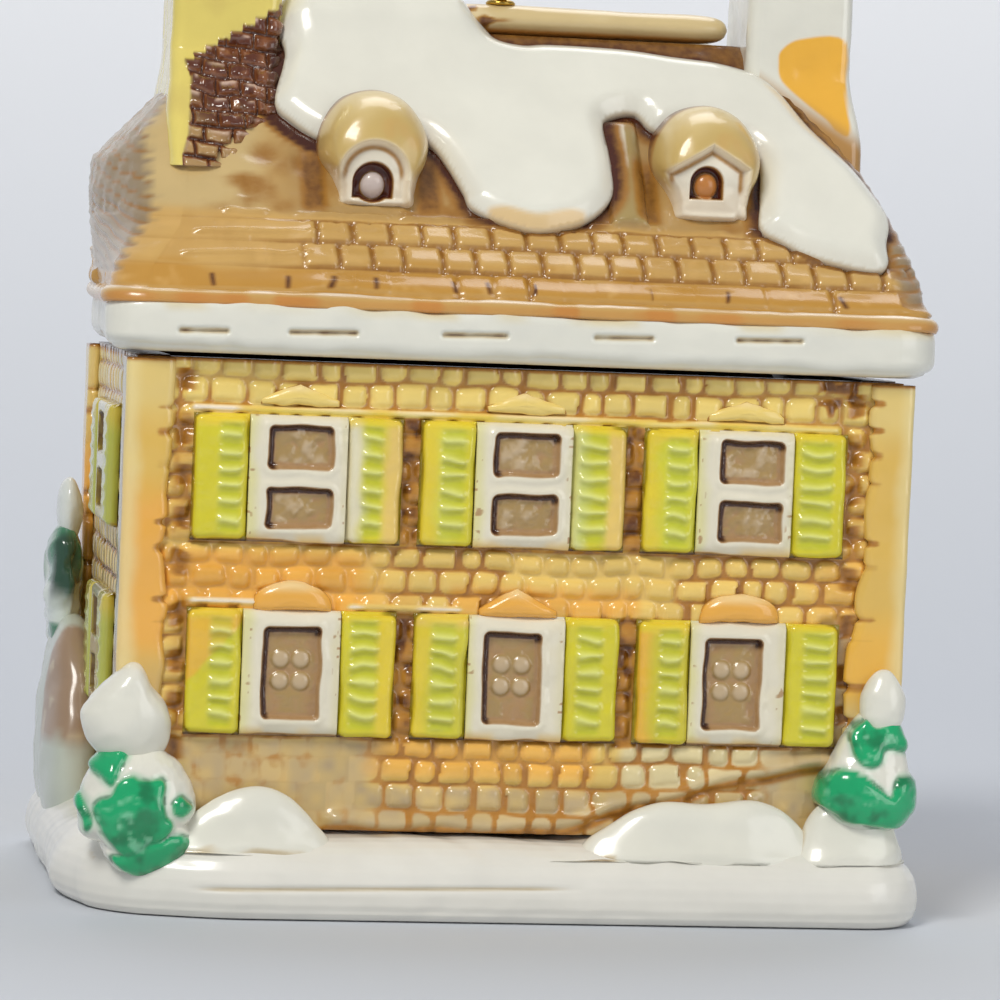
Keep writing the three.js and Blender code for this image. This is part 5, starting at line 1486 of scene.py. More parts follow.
        canvas.wash_and_shade(
            0.45 * grey * smooth(0.1, 0.9, np.sin(field.strokes() + 3.1)),
            0.9 * line, 0.62 * joint, 0.85 * dash,
            0.66 * course * (1 - 0.6 * smooth(-17, -22, x) * (y < 0)),
            front * smooth(1.9, 0.1, away) * smooth(8.0, 9.0, s) * (0.9 + 0.1 * smooth(13, 15, s)),
            front * smooth(0.5, 0.3, away) * (0.7 + 0.3 * smooth(9, 12, s)),
            0.5 * np.clip(field.hollows(), 0, 1),
            front * smooth(1.7, 0.9, away) * smooth(-12.5, -14.5, x) * smooth(12, 14, s),
            0.55 * front * right_hip * smooth(0.0, 0.5, noise(x, s, 0.8, 101)) * (s > 2.2),
            0.5 * front * soot * smooth(-25, -20, x),
            0.75 * front * smooth(-19.5, -15.0, x) * smooth(17.2, 20.5, s),
        )
        for middle in (-11.0, 13.6):
            beside = smooth(1.6, 0.4, np.abs(np.abs(x - middle) - 4.2))
            canvas.wash_and_shade(0.7 * front * beside * between(s, 9, 10, 14, 17))


@dataclass(frozen=True)
class RoofSnow:
    """The sheets of snow: the front one runs on over the ridge at its left end."""

    thick: float = 1.45
    round_to: float = 1.7  # how far in from its edge a sheet is rounded
    over_ridge: float = 1.5
    step: float = 0.2

    def sheet(self, name: str, nodes: Sequence[str], outline: Outline, side: int, shelf: Shelf) -> None:
        """A sheet cut to its outline, with a round edge; its outermost points are moved on to the outline.

        It is thick * (0.3 + 0.7 sin(90 deg * depth / 1.7)) high, and the front one 1.5 mm more over the ridge.

        Args:
            name: the piece's name.
            nodes: the CAD nodes that it stands for.
            outline: its edge, in x and s.
            side: -1 for the front slope, 1 for the back one.
            shelf: the finishes.
        """
        x, s = np.meshgrid(*(np.arange(run.min() - 1, run.max() + 1, self.step) for run in outline.curve().T))
        away = outline.distance(x, s)
        inside = away < 0.5 * self.step
        keep = inside[:-1, :-1] & inside[1:, :-1] & inside[:-1, 1:] & inside[1:, 1:]
        around = np.pad(keep, 1)
        full = around[:-1, :-1] & around[1:, :-1] & around[:-1, 1:] & around[1:, 1:]
        gs, gx = np.gradient(away, self.step)
        pull = np.where(full, 0, away / np.maximum(np.hypot(gx, gs), 0.3) ** 2)
        x, s = x - pull * gx, s - pull * gs
        depth = np.where(full, np.clip(-away, 0, None), 0.0)
        lift = self.thick * (0.3 + 0.7 * np.sin(math.pi / 2 * np.clip(depth / self.round_to, 0, 1)))
        lift = lift + 0.16 * rough(x, s, 6.0, 201) * smooth(0, 2, depth)
        canvas = Canvas(x.shape, SNOW)
        canvas.wash_and_shade(0.35 * smooth(0.25, 0.0, depth))
        number = numbers(*x.shape)
        if side < 0:
            lift = lift + self.over_ridge * bell(s - 29.5, 3.4) * smooth(0.5, -4.0, x) * smooth(0, 2.5, depth)
            lip = smooth(1.25, 0.75, depth) * smooth(9.9, 9.4, s) * smooth(3.9, 3.3, np.abs(x - 0.9))
            canvas.coat(((228, 198, 146), lip))
            canvas.wash_and_shade(0.45 * lip * bell(depth - 1.05, 0.12))
        else:  # seen from behind, the columns run the other way
            number, keep = number[:, ::-1], keep[:, ::-1]
        canvas.take(number)
        top, bottom = (on_slope(x, s, out, side).reshape(-1, 3)[number] for out in (0.1 + lift, -0.25))
        shelf.dress(blanket(name, top, bottom, keep, canvas), Finish.SNOW, *nodes)

    def build(self, shelf: Shelf) -> None:
        """Makes the two."""
        self.sheet("snow_front", ["roof_snow_front", "ridge_drift"], SNOW_EDGE, -1, shelf)
        self.sheet("snow_back", ["roof_snow_back"], SNOW_EDGE_BACK, 1, shelf)


@dataclass(frozen=True)
class Dormer:
    """A dormer cast in one: an egg-shaped hood that runs down into two jambs round a small opening.

    Args:
        side: left or right.
        x: the hood's middle.
        door: the opening's half width, sill and spring heights.
        opening: how far the opening stands from the hood's middle.
        knob: colour of the round knob in it.
    """

    side: str
    x: float
    door: tuple[float, float, float]
    opening: float
    knob: Colour
    back: float = -8.2
    depth: float = 7.1

    @staticmethod
    def arch(x: Array, z: Array, half: float, low: float, spring: float) -> Array:
        """Signed distance to a round-headed opening: half a disc over a rectangle."""
        return np.minimum(np.hypot(x, z - spring) - half,
                          np.maximum(np.abs(x) - half, np.maximum(low - z, z - spring)))

    def forms(self, points: Array) -> tuple[Array, Array, Array, Array, Array]:
        """The face in its own terms.

        Returns:
            x and z from the opening's middle, signed distances to the opening and to the sunk face, which
            is round-headed on the left dormer and gabled on the right one, and the distance to the knob's
            middle.
        """
        x, z = points[..., 0] - self.x - self.opening, points[..., 2]
        brow = 0.9 * np.maximum(np.abs(x) - 2.9, z - 56.3 + 0.6 * np.abs(x - 0.3))
        if self.side == "left":
            brow = self.arch(x, z, 2.35, 50.0, 53.2)
        middle = 0.5 * (self.door[1] + self.door[2]) + 0.35
        return x, z, self.arch(x, z, *self.door), brow, np.hypot(x, (z - middle) * 0.9)

    def shape(self, points: Array, share: Array) -> Array:
        """Rounds the hood back at its top and sides, sinks the face and the opening, and adds knob and sill."""
        x, z, arch, brow, knob = self.forms(points)
        forward = np.clip(-(points[..., 1] - self.back) / self.depth, 0, 1)
        y = points[..., 1] + (0.1 * np.clip(z - 54.6, 0, 9) ** 1.75 + 0.035 * x**2) * forward
        y += 0.95 * smooth(0.35, -0.3, brow) * smooth(0.6, 0.9, forward) + 0.95 * smooth(0.12, -0.2, arch)
        y -= 0.6 * dome(knob / 0.9) + 0.3 * bell(z - 51.25, 0.3) * smooth(2.6, 2.2, np.abs(x)) * (forward > 0.7)
        y += 0.12 * rough(points[..., 0], z, 2.6, 33) * forward
        roof = -ROOF_HALF_Y + (z - ROOF_FOOT) * ROOF_IN / ROOF_RISE
        points[..., 1] = np.where(share >= 0.9999, np.maximum(roof + 0.7, self.back), y)
        return points

    def paint(self, canvas: Canvas, points: Array, share: Array) -> None:
        """A beige hood with a painted highlight along its brow and wash with painted shade just inside it, round
        an off-white face; the opening is dark round its knob.
        """
        x, z, arch, brow, knob = self.forms(points)
        front = smooth(0.9, 0.75, share)
        canvas.coat(
            ((224, 202, 146), 0.6 * smooth(56.5, 59.0, z + 0.8 * noise(x, z, 2, 3))),
            ((208, 166, 98), 0.55 * smooth(0.1, 0.6, rough(x, z, 2.4, 35)) * smooth(54, 56, z)),
            ((228, 220, 200), front * smooth(0.25, -0.15, brow)),
            ((240, 226, 200), smooth(54.0, 52.5, z) * 0.8),
            # painted highlight along the brow's crest
            ((250, 240, 214), 0.85 * bell(brow - 0.12, 0.2) * (z > 53.0) * front),
            (self.knob, smooth(0.92, 0.8, knob) * front),
        )
        # wash and painted shade just inside the brow's upper part; wash in the opening and round the foot
        canvas.wash_and_shade(0.5 * bell(brow + 0.3, 0.22) * smooth(52.5, 53.5, z) * front,
                     smooth(0.12, -0.1, arch) * smooth(0.8, 0.98, knob) * front, 0.85 * smooth(0.97, 1.0, share))

    def build(self, shelf: Shelf) -> None:
        """An egg drawn in to its middle as it comes forward, with the face and the opening sunk in it."""
        outline = Outline((
            (-2.6, 50.7), (0.2, 50.5), (2.9, 50.65), (3.15, 52.0), (3.4, 53.2), (3.95, 54.4), (4.1, 55.9),
            (3.55, 57.4), (2.4, 58.8), (0.8, 59.5), (-0.9, 59.45), (-2.5, 58.7), (-3.7, 57.1), (-4.1, 55.4),
            (-3.9, 54.2), (-3.25, 53.1), (-2.9, 52.0),
        ), 14).curve() + np.array([self.x, 0])
        form = Boss(outline, (self.x + self.opening, 53.6), self.back, self.depth, 0.34, 64)
        piece = form.build(f"hood_{self.side}", BEIGE, self.paint, 0, self.shape)
        shelf.dress(piece, Finish.HOOD, f"dormer_{self.side}", f"dormer_hood_{self.side}")


@dataclass(frozen=True)
class Chimney:
    """An end chimney: a tapered stack, with worn brick courses on the left one, and its cap."""

    side: str
    x: float
    foot: float
    top: float = 68.4
    cap_height: float = 69.35
    brick: tuple[float, float] = (1.9, 1.25)  # pitch along and up

    def stack(self, shelf: Shelf) -> None:
        """Rings up the stack; the left one's front is stepped in brick courses, and its foot meets the slope."""
        left = self.side == "left"
        plan = RingPlan(36, 40, 36, 90, 6)
        z = np.linspace(self.foot, self.top, 130)
        fall = smooth(63.0, 56.0, z)
        half_y = 4.2 + 2.3 * fall
        rings = plan.rings(4.05 + 0.6 * fall, half_y, 0.9, z)
        x, y, z = split(rings)
        t, front = (z - self.foot) / (self.top - self.foot), plan.on(3)
        row = (z + 0.12 * x + 0.2 * noise(x, z, 2, 3)) / self.brick[1]
        cell = (x + 0.15 * noise(x, z, 1.2, 4)) / self.brick[0] + 0.5 * (np.floor(row) % 2)
        joint = np.abs(cell - np.round(cell)) * self.brick[0]
        groove = np.maximum(bell(np.abs(row - np.round(row)) * self.brick[1], 0.2), bell(joint, 0.16))
        bricks = self.bricks(x, z) * front if left else 0 * x
        height = bricks * (0.2 - 0.42 * groove + 0.3 * rough(x, z, 0.8, 9)) + 0.12 * rough(x + y, z, 3, 11)
        canvas = Canvas(x.shape, BUTTER if left else SNOW)
        if left:
            gleam = bell(row - np.floor(row) - 0.72, 0.14) * smooth(0.0, 0.35, noise(x, z * 1.6, 1.1, 6))
            canvas.coat(
                ((92, 46, 24), bricks),
                ((160, 104, 68), 0.6 * bricks * smooth(0.1, 0.6, noise(x, z, 0.8, 5))),
                ((228, 196, 176), 0.8 * bricks * gleam * smooth(0.2, 0.5, joint)),
                ((186, 150, 96), 0.8 * bricks * smooth(56.5, 54.5, z + 0.5 * x)),
                ((206, 180, 100), 0.5 * smooth(0.1, 0.7, rough(x + y, z, 4, 13))),
            )
            canvas.wash_and_shade(0.9 * bricks * groove, 0.9 * front * smooth(1.5, 3.6, x) * smooth(64.5, 62.5, z))
        else:
            patch = Outline((
                (-1.7, 63.2), (-1.5, 64.2), (0.0, 65.1), (3.4, 65.1), (3.6, 61.0), (3.6, 58.0), (2.6, 58.2),
                (1.9, 59.0), (0.4, 60.2), (-1.4, 61.8),
            )).distance(x, z)
            canvas.coat((TANGERINE, front * (1 - smooth(-0.15, 0.1, patch))),
                        (TANGERINE, plan.on(0) * (1 - smooth(65.0, 65.3, z))),
                        ((186, 140, 80), front * smooth(60.5, 58.5, z + 0.6 * (x - 1))))
        points = puffed(xyz(x + self.x, y, z), height * between(t, 0, 0.05, 0.95, 1))
        if left:
            skirt = np.interp(z, [53.5, 55.4, 57.8, 60.0], [-2.0, -0.7, 2.4, 2.8])
            hem = -(ROOF_HALF_Y - (z - ROOF_FOOT) * ROOF_IN / ROOF_RISE) - 0.6 + 0.6 * np.maximum(x - skirt, 0)
            share = points[..., 1] / -half_y[:, None]
            points[..., 1] = np.where(share > 0, share * np.minimum(-half_y[:, None], hem), points[..., 1])
        shelf.dress(loft(f"stack_{self.side}", points, canvas), Finish.CHIMNEY, f"chimney_{self.side}")

    @staticmethod
    def bricks(x: Array, z: Array) -> Array:
        """Where the brick shows on the front: below a stepped slant, and right of a smooth strip."""
        slant = z - (61.2 + 0.62 * (np.floor((x + 3.4) / 0.9) * 0.9))
        strip = np.interp(z, [53.5, 55.8, 60.0, 62.0], [-3.9, -3.2, -2.8, -3.6])
        return smooth(0.25, -0.1, slant) * smooth(-0.1, 0.2, x - strip)

    def cap(self, shelf: Shelf) -> None:
        """The cap: a slab with soft edges, and snow-white glaze on the right one."""
        plan = RingPlan(20, 20, 20, 20, 8)
        a = np.linspace(-math.pi / 2, math.pi / 2, 16)
        inset = 0.45 * (1 - np.cos(a))
        inner = np.array([1.0] * len(a) + [0.75, 0.45])
        inset, z = np.pad(inset, (0, 2), "edge"), np.pad(self.cap_height + 0.8 * np.sin(a), (0, 2), "edge")
        rings = plan.rings((4.45 - inset) * inner, (4.65 - inset) * inner, 1.2, z)
        rings[..., 2] += 0.06 * rough(rings[..., 0], rings[..., 1], 2.5, 17)
        canvas = Canvas(rings.shape[:2], SNOW if self.side == "right" else BUTTER)
        canvas.coat((SNOW, smooth(69.6, 70.0, rings[..., 2])))
        rings[..., 0] += self.x
        shelf.dress(loft(f"cap_{self.side}", rings, canvas), Finish.CHIMNEY, f"chimney_cap_{self.side}")

    def build(self, shelf: Shelf) -> None:
        """Makes the stack and its cap."""
        self.stack(shelf)
        self.cap(shelf)


@dataclass(frozen=True)
class RidgeRoll:
    """The clay roll along the ridge."""

    left: float = -16.1
    right: float = 17.5
    half_width: float = 1.75
    half_height: float = 1.1
    middle: float = 65.6

    def build(self, shelf: Shelf) -> None:
        """An oval section carried along X, thumbed by noise; both ends are rounded by sqrt(1 - |u|^24)."""
        x = np.linspace(self.left, self.right, 150)[:, None]
        u = 2 * (x - self.left) / (self.right - self.left) - 1
        a = np.linspace(0, 2 * math.pi, 41)[:-1]
        full = np.sqrt(np.maximum(1 - np.abs(u) ** 24, 0.02)) * (1 + 0.06 * noise(x, 0 * x, 2.2, 5))
        points = xyz(x, -self.half_width * np.cos(a) * full, self.middle + self.half_height * np.sin(a) * full)
        x, y, z = split(points)
        canvas = Canvas(x.shape, (214, 190, 138))
        canvas.coat(((234, 216, 176), 0.5 * smooth(0.1, 0.7, rough(x, z * 2, 3.5, 7))))
        canvas.wash_and_shade(0.8 * smooth(1.5, -1.0, x) * smooth(0.25, 0.6, noise(x, z * 2 + y, 0.9, 8)),
                     # painted shade along the roll's underside, with wash where it meets the ridge
                     0.6 * smooth(65.1, 64.6, z))
        shelf.dress(loft("roll_ridge", points, canvas), Finish.HOOD, "ridge_roll")


# snow on the ground and the pines


@dataclass(frozen=True)
class Lump:
    """A modelled lump: an ellipsoid pushed in and out by noise.

    Args:
        name, node: the piece and the CAD node that it stands for.
        finish, colour: its finish and ground colour.
        centre, radii: in mm.
        lumpy: depth of the modelling.
        size: width of its swellings.
        seed: of its noise.
        power: 2 for an ellipsoid, more for a fuller form.
        fine: how much finer its grid is than a plain lump's.
    """

    name: str
    node: str
    finish: Finish
    colour: Colour
    centre: tuple[float, float, float]
    radii: tuple[float, float, float]
    lumpy: float = 0.3
    size: float = 3.0
    seed: int = 1
    power: float = 2.0
    fine: int = 1

    def bow(self, wave: Array) -> Array:
        """Fills a sine or cosine out: sign(w) |w|^(2 / power)."""
        return np.sign(wave) * np.abs(wave) ** (2 / self.power)

    def build(self, shelf: Shelf, paint: Paint | None = None, shape: Shape | None = None) -> None:
        """Rings from the lower pole to the upper one, moved out by the noise times the cosine of the height.

        Args:
            shelf: the finishes.
            paint: adds its brushwork to (canvas, points, unit form's points).
            shape: models its (points, unit form's points).
        """
        v = np.linspace(-math.pi / 2 + 0.03, math.pi / 2 - 0.03, 56 * self.fine)[:, None]
        u = np.linspace(0, 2 * math.pi, 96 * self.fine + 1)[:-1]
        across = self.bow(np.cos(v))
        unit = xyz(across * self.bow(np.cos(u)), across * self.bow(np.sin(u)), self.bow(np.sin(v)))
        points = np.array(self.centre) + unit * np.array(self.radii)
        if shape:
            points = shape(points, unit)
        x, y, z = split(points)
        points = puffed(points, self.lumpy * rough(x + 0.7 * y, z + 0.3 * y, self.size, self.seed) * np.cos(v))
        canvas = Canvas(x.shape, self.colour)
        if paint:
            paint(canvas, points, unit)
        shelf.dress(loft(self.name, points, canvas), self.finish, self.node)


@dataclass(frozen=True)
class Ground:
    """The snowy base and the banks against the walls."""

    half_x: float = 31.75
    half_y: float = 22.5
    corner: float = 5.0
    cut: float = 2.0  # how far the front left corner is drawn in
    profile: tuple[tuple[float, float], ...] = (  # mm in from the rim and up
        (6.0, 0.0), (1.6, 0.0), (0.9, 0.12), (0.35, 0.55), (0.08, 1.2), (0.0, 2.0), (0.08, 2.8), (0.35, 3.6),
        (0.8, 4.3), (1.4, 4.9), (2.0, 5.35), (2.7, 5.7), (3.4, 5.9), (4.2, 5.98), (6.5, 6.0),
    )

    def base(self, shelf: Shelf) -> None:
        """Rings from the flat underside over an upright rim to the foot of the walls."""
        plan = RingPlan(110, 130, 110, 300, 16)
        step = np.arange(len(self.profile))
        inset, z = (np.interp(np.linspace(0, step[-1], 70), step, run) for run in np.transpose(self.profile))
        rings = plan.rings(self.half_x - inset, self.half_y - inset, np.maximum(self.corner - inset, 1.0), z)
        x, y, z = split(rings)
        pull = self.cut * smooth(-18, -31, x) * smooth(-9, -22, y)
        x, y = x + pull - HOUSE_SHIFT, y + pull
        lump = 0.16 * rough(x + y, z * 1.5 + 0.4 * y, 6.0, 301) + 0.05 * noise(x + y, z, 1.6, 303)
        crease = bell(z - 2.7 - 0.02 * x, 0.16) * between(x, -24, -21, 1, 6) * (y < -20)
        blot = smooth(0.1, 0.5, noise(x, z * 1.3, 0.9, 309)) * spot(x, z, (-27.5, 4.6), (2.6, 1.0)) * (y < -15)
        canvas = Canvas(x.shape, (233, 230, 220))
        canvas.wash_and_shade(0.5 * crease, 0.4 * blot,
                     0.5 * smooth(3.1, 4.1, inset)[:, None] * (0.6 + 0.4 * noise(x, y, 2, 305)))
        points = puffed(xyz(x, y, z), (lump - 0.25 * crease - 0.15) * smooth(0.1, 0.8, z))
        points[..., 2] = np.where(z < 0.01, 0.0, np.clip(points[..., 2], 0.0, 6.0))
        shelf.dress(loft("ground_snow", points, canvas), Finish.SNOW, "snow_base")

    @staticmethod
    def heap(points: Array, unit: Array) -> Array:
        """Lets a lump run out at its foot.

        Below its middle the ring stays full, and under 7.4 mm it spreads by up to 1 mm in x and 0.7 mm in y,
        inside the base's front edge and its rounded corner, 3.7 mm about (26, -17.6).
        """
        share = np.where(unit[..., 2] < 0, 1 / np.sqrt(np.maximum(1 - unit[..., 2] ** 2, 1e-4)), 1.0)
        middle = points.mean((0, 1))
        points[..., :2] = middle[:2] + (points[..., :2] - middle[:2]) * share[..., None]
        low = np.clip((7.4 - points[..., 2]) / 2.6, 0, 1) ** 2
        flat = unit[..., :2] / np.maximum(np.linalg.norm(unit[..., :2], axis=-1, keepdims=True), 1e-6)
        x = points[..., 0] + low * flat[..., 0]
        y = np.maximum(points[..., 1] + 0.7 * low * flat[..., 1], -21.3)
        across, along = np.maximum(x - 26.0, 0), np.maximum(-17.6 - y, 0)
        pull = np.minimum(1, 3.7 / np.maximum(np.hypot(across, along), 1e-6))
        points[..., 0] = np.where(x > 26, 26 + across * pull, x)
        points[..., 1] = np.where((x > 26) & (along > 0), -17.6 - along * pull, y)
        points[..., 2] = np.maximum(points[..., 2], 4.6 + 0.2 * noise(points[..., 0], 0 * x, 2.6, 7))
        return points

    def left_bank(self, points: Array, unit: Array) -> Array:
        """The left bank's top rises to the right as far as x = -19, then falls off as a parabola."""
        x, up = points[..., 0] + 19.0, np.maximum(unit[..., 2], 0)
        points[..., 2] += (0.14 * x - 0.06 * x**2 * (x > 0)) * up
        return self.heap(points, unit)

    def right_bank(self, points: Array, unit: Array) -> Array:
        """The right bank's top rises to the right in slow waves."""
        x, up = points[..., 0], np.maximum(unit[..., 2], 0)
        points[..., 2] += (0.08 * (x - 13.5) + 0.25 * np.sin(x * 0.75)) * up
        return self.heap(points, unit)

    @staticmethod
    def rear_bank(points: Array, unit: Array) -> Array:
        """Widens the foot and narrows the top: y = 11.4 + (y - 12.4) (1.3 - 0.5 of the height's share)."""
        share = np.clip((points[..., 2] - 4.0) / 15.0, 0, 1)
        points[..., 1] = 11.4 + (points[..., 1] - 12.4) * (1.3 - 0.5 * share)
        return points

    @staticmethod
    def wash_foot(canvas: Canvas, points: Array, unit: Array) -> None:
        """Broken wash along the foot of a front bank, and a little where it meets the wall."""
        x, z = points[..., 0], points[..., 2]
        foot = smooth(5.3, 4.8, z + 0.3 * noise(x, z, 1.5, 5)) * smooth(-0.1, 0.5, noise(x, 0 * z, 2.4, 6))
        canvas.wash_and_shade(0.7 * foot + 0.4 * smooth(0.8, 1.0, unit[..., 1]))

    @staticmethod
    def wash_corner(canvas: Canvas, points: Array, unit: Array) -> None:
        """Wash low on the corner bank's left."""
        canvas.wash_and_shade(0.9 * smooth(0.82, 1.0, -unit[..., 0]) * smooth(8.0, 6.5, points[..., 2]))

    @staticmethod
    def paint_rear(canvas: Canvas, points: Array, unit: Array) -> None:
        """A grey-green rear bank, bare and brown at its upper front."""
        y, z = points[..., 1], points[..., 2]
        bare = smooth(9.2, 8.2, y + 0.9 * rough(y, z, 2.4, 3)) * smooth(8.8, 10.0, z + 0.8 * noise(y, z, 1.6, 4))
        canvas.coat(((160, 134, 110), bare))
        canvas.wash_and_shade(0.3 * bare * smooth(0, 0.6, noise(y, z, 1.2, 5)))

    def build(self, shelf: Shelf) -> None:
        """Makes the base, then the banks."""
        self.base(shelf)
        snow = (Finish.SNOW, SNOW)
        Lump("bank_front_left", "drift_front_left", *snow, (-18.9, -19.2, 5.4), (5.2, 1.6, 3.9),
             0.3, 3.4, 11).build(shelf, self.wash_foot, self.left_bank)
        Lump("bank_front_right", "drift_front_right", *snow, (14.0, -19.2, 5.0), (8.2, 1.6, 3.9),
             0.25, 4.0, 13, 2.3).build(shelf, self.wash_foot, self.right_bank)
        Lump("bank_corner_right", "drift_corner_right", *snow, (25.1, -19.2, 5.2), (3.7, 1.7, 4.5),
             0.25, 3.6, 15, 2.1).build(shelf, self.wash_corner, self.heap)
        Lump("bank_rear_left", "drift_rear_left", Finish.SNOW, (190, 196, 182), (-29.8, 12.4, 9.6),
             (2.2, 7.3, 9.3), 0.5, 4.4, 17, 2.5).build(shelf, self.paint_rear, self.rear_bank)


@dataclass(frozen=True)
class Boughs:
    """The green boughs of one pine, as outlines seen from the front.

    Args:
        seed: of their noise.
        sink: mm that the snow between them lies deeper near the foot.
        greens: the outlines.
    """

    seed: int
    sink: float
    greens: tuple[Outline, ...]

    def away(self, points: Array) -> Array:
        """Signed distance to the nearest bough, negative on it, with its edge bent by noise."""
        x, z = points[..., 0], points[..., 2]
        bent = x + 0.22 * noise(x, z, 0.9, self.seed), z + 0.22 * noise(x, z, 0.9, self.seed + 1)
        return np.minimum.reduce([green.distance(*bent) for green in self.greens])

    def paint(self, canvas: Canvas, points: Array, unit: Array) -> None:
        """Emerald with darker and paler dabs, over a thin rim of pale green; patches of it behind."""
        x, y, z = split(points)
        away, seed = self.away(points), self.seed
        behind = smooth(0.2, 0.6, noise(x + y, z, 1.8, seed + 2)) * (unit[..., 1] > 0.15)
        green = np.maximum(smooth(0.16, -0.08, away), behind)
        canvas.coat(
            ((168, 206, 176), 0.6 * smooth(0.5, 0.05, away)),
            (EMERALD, green),
            ((6, 100, 60), 0.7 * green * smooth(0.1, -0.5, rough(x, z, 1.3, seed + 3))),
            ((150, 220, 180), 0.5 * green * smooth(0.35, 0.7, rough(x, z, 0.9, seed + 4))),
        )
        canvas.wash_and_shade(0.35 * bell(away - 0.1, 0.15) * smooth(0, 0.5, noise(x, z, 0.8, seed + 5)))

    def shape(self, points: Array, unit: Array) -> Array:
        """Raises the boughs by 0.42 mm with round edges, and sinks the snow between them near the foot."""
        away = self.away(points)
        out = unit / np.maximum(np.linalg.norm(unit, axis=-1, keepdims=True), 1e-6)
        x, z = points[..., 0], points[..., 2]
        sunk = self.sink * smooth(0.1, 1.5, away) * smooth(8.8, 5.5, z)
        height = 0.42 * pillow(away, 0.7) + 0.1 * rough(x, z, 1.1, self.seed + 6) - sunk
        return points + out * height[..., None]

    def tiers(self, points: Array, unit: Array) -> Array:
        """Narrows a pine with height about (27.1, -18.9), by 1.02 at its foot to 0.6, before its boughs."""
        narrow = 1.02 - 0.42 * smooth(8.5, 15.5, points[..., 2])
        middle = np.array([27.1, -18.9])
        points[..., :2] = middle + (points[..., :2] - middle) * narrow[..., None]
        return self.shape(points, unit)


LEFT_BOUGHS = Boughs(41, 1.0, tuple(Outline(edge) for edge in (
    ((-32.4, 11.6), (-31.4, 12.7), (-30.4, 11.9), (-29.4, 12.2), (-27.9, 11.9), (-28.3, 10.7), (-28.9, 9.4),
     (-30.0, 10.2), (-31.7, 10.8)),
    ((-30.3, 7.9), (-28.8, 9.1), (-27.7, 10.0), (-26.7, 9.7), (-25.3, 9.6), (-25.3, 7.7), (-24.8, 6.4),
     (-26.1, 5.3), (-27.5, 4.3), (-29.3, 5.8)),
    ((-28.8, 4.3), (-27.3, 4.8), (-25.4, 5.8), (-23.9, 5.8), (-22.4, 4.8), (-22.7, 3.7), (-24.7, 2.8),
     (-26.4, 2.9), (-27.7, 3.2)),
    ((-24.6, 8.4), (-23.9, 8.8), (-23.3, 7.9), (-23.9, 7.2), (-24.6, 7.5)),
    ((-32.3, 8.8), (-32.0, 10.6), (-31.2, 11.2), (-31.3, 9.4), (-30.3, 6.8), (-30.8, 6.2), (-31.6, 8.5)),
)))
RIGHT_BOUGHS = Boughs(61, 0.0, tuple(Outline(edge) for edge in (
    ((24.9, 14.3), (25.7, 15.3), (26.7, 14.6), (27.9, 15.2), (29.4, 14.6), (29.4, 13.0), (27.4, 13.1),
     (26.1, 12.0), (24.9, 12.7)),
    ((21.9, 9.9), (23.3, 11.3), (24.7, 11.6), (26.6, 10.5), (27.5, 9.7), (28.3, 11.2), (30.4, 11.0),
     (30.2, 8.3), (27.3, 7.5), (24.8, 7.8), (22.9, 8.8)),
)))


@dataclass(frozen=True)
class Pines:
    """The three little pines: snowy heaps whose boughs stand out a little and are painted green."""

    left_x: float = -28.1
    tip_at: tuple[float, float] = (27.2, -19.3)

    def teardrop(self, points: Array, unit: Array) -> Array:
        """Narrows upwards to a drop whose tip leans to the right and whose foot runs down to the right."""
        w = unit[..., 2]
        across = (points[..., 0] - self.left_x) * (1 - 0.58 * smooth(-0.1, 0.95, w)) + 0.5 * smooth(0.3, 1.0, w)
        points[..., 0] = self.left_x + across
        points[..., 2] -= 0.2 * across * smooth(0.3, -0.6, w)
        return points

    def tip(self, points: Array, unit: Array) -> Array:
        """Narrows the upper half to 0.8 of its width at the tip."""
        middle = np.array(self.tip_at)
        points[..., :2] = middle + (points[..., :2] - middle) * (1 - 0.2 * smooth(0.2, 1.0, unit[..., 2:]))
        return points

    @staticmethod
    def paint_rear(canvas: Canvas, points: Array, unit: Array) -> None:
        """Patches of dull green, and painted shade, nearly black, towards the wall at the top."""
        y, z = points[..., 1], points[..., 2]
        canvas.coat(((62, 124, 92), smooth(0.0, 0.35, noise(y + 3, z, 2.6, 49))),
                    # painted shade, nearly black
                    ((40, 60, 50), 0.8 * smooth(11.8, 10.9, y) * smooth(19, 21, z)))

    def build(self, shelf: Shelf) -> None:
        """Each pine is one modelled lump in green and white, with a drop of snow on its top."""
        pine, snow = (Finish.PINE, SNOW), (Finish.SNOW, SNOW)
        Lump("green_front_left", "pine_front_left", *pine, (-27.0, -18.9, 7.4), (4.3, 2.9, 4.7),
             0.08, 1.7, 21, 2.1, 2).build(shelf, LEFT_BOUGHS.paint, LEFT_BOUGHS.shape)
        Lump("cap_front_left", "pine_snow_front_left", *snow, (self.left_x, -18.6, 14.3), (3.3, 2.4, 3.7),
             0.3, 2.6, 23, 2.1).build(shelf, None, self.teardrop)
        Lump("green_front_right", "pine_front_right", *pine, (26.2, -19.1, 11.3), (3.6, 2.7, 4.5),
             0.08, 1.6, 25, 2.6, 2).build(shelf, RIGHT_BOUGHS.paint, RIGHT_BOUGHS.tiers)
        Lump("cap_front_right", "pine_snow_front_right", *snow, (*self.tip_at, 16.3), (1.75, 1.4, 2.6),
             0.12, 1.6, 27).build(shelf, None, self.tip)
        Lump("green_rear_left", "pine_rear_left", Finish.PINE, (214, 222, 212), (-30.4, 13.4, 20.8),
             (1.4, 3.4, 4.9), 0.45, 1.8, 29, 2.4).build(shelf, self.paint_rear)
        Lump("cap_rear_left", "pine_snow_rear_left", Finish.SNOW, (220, 224, 218), (-30.1, 13.5, 26.6),
             (1.0, 2.0, 2.7), 0.2, 1.6, 31).build(shelf)


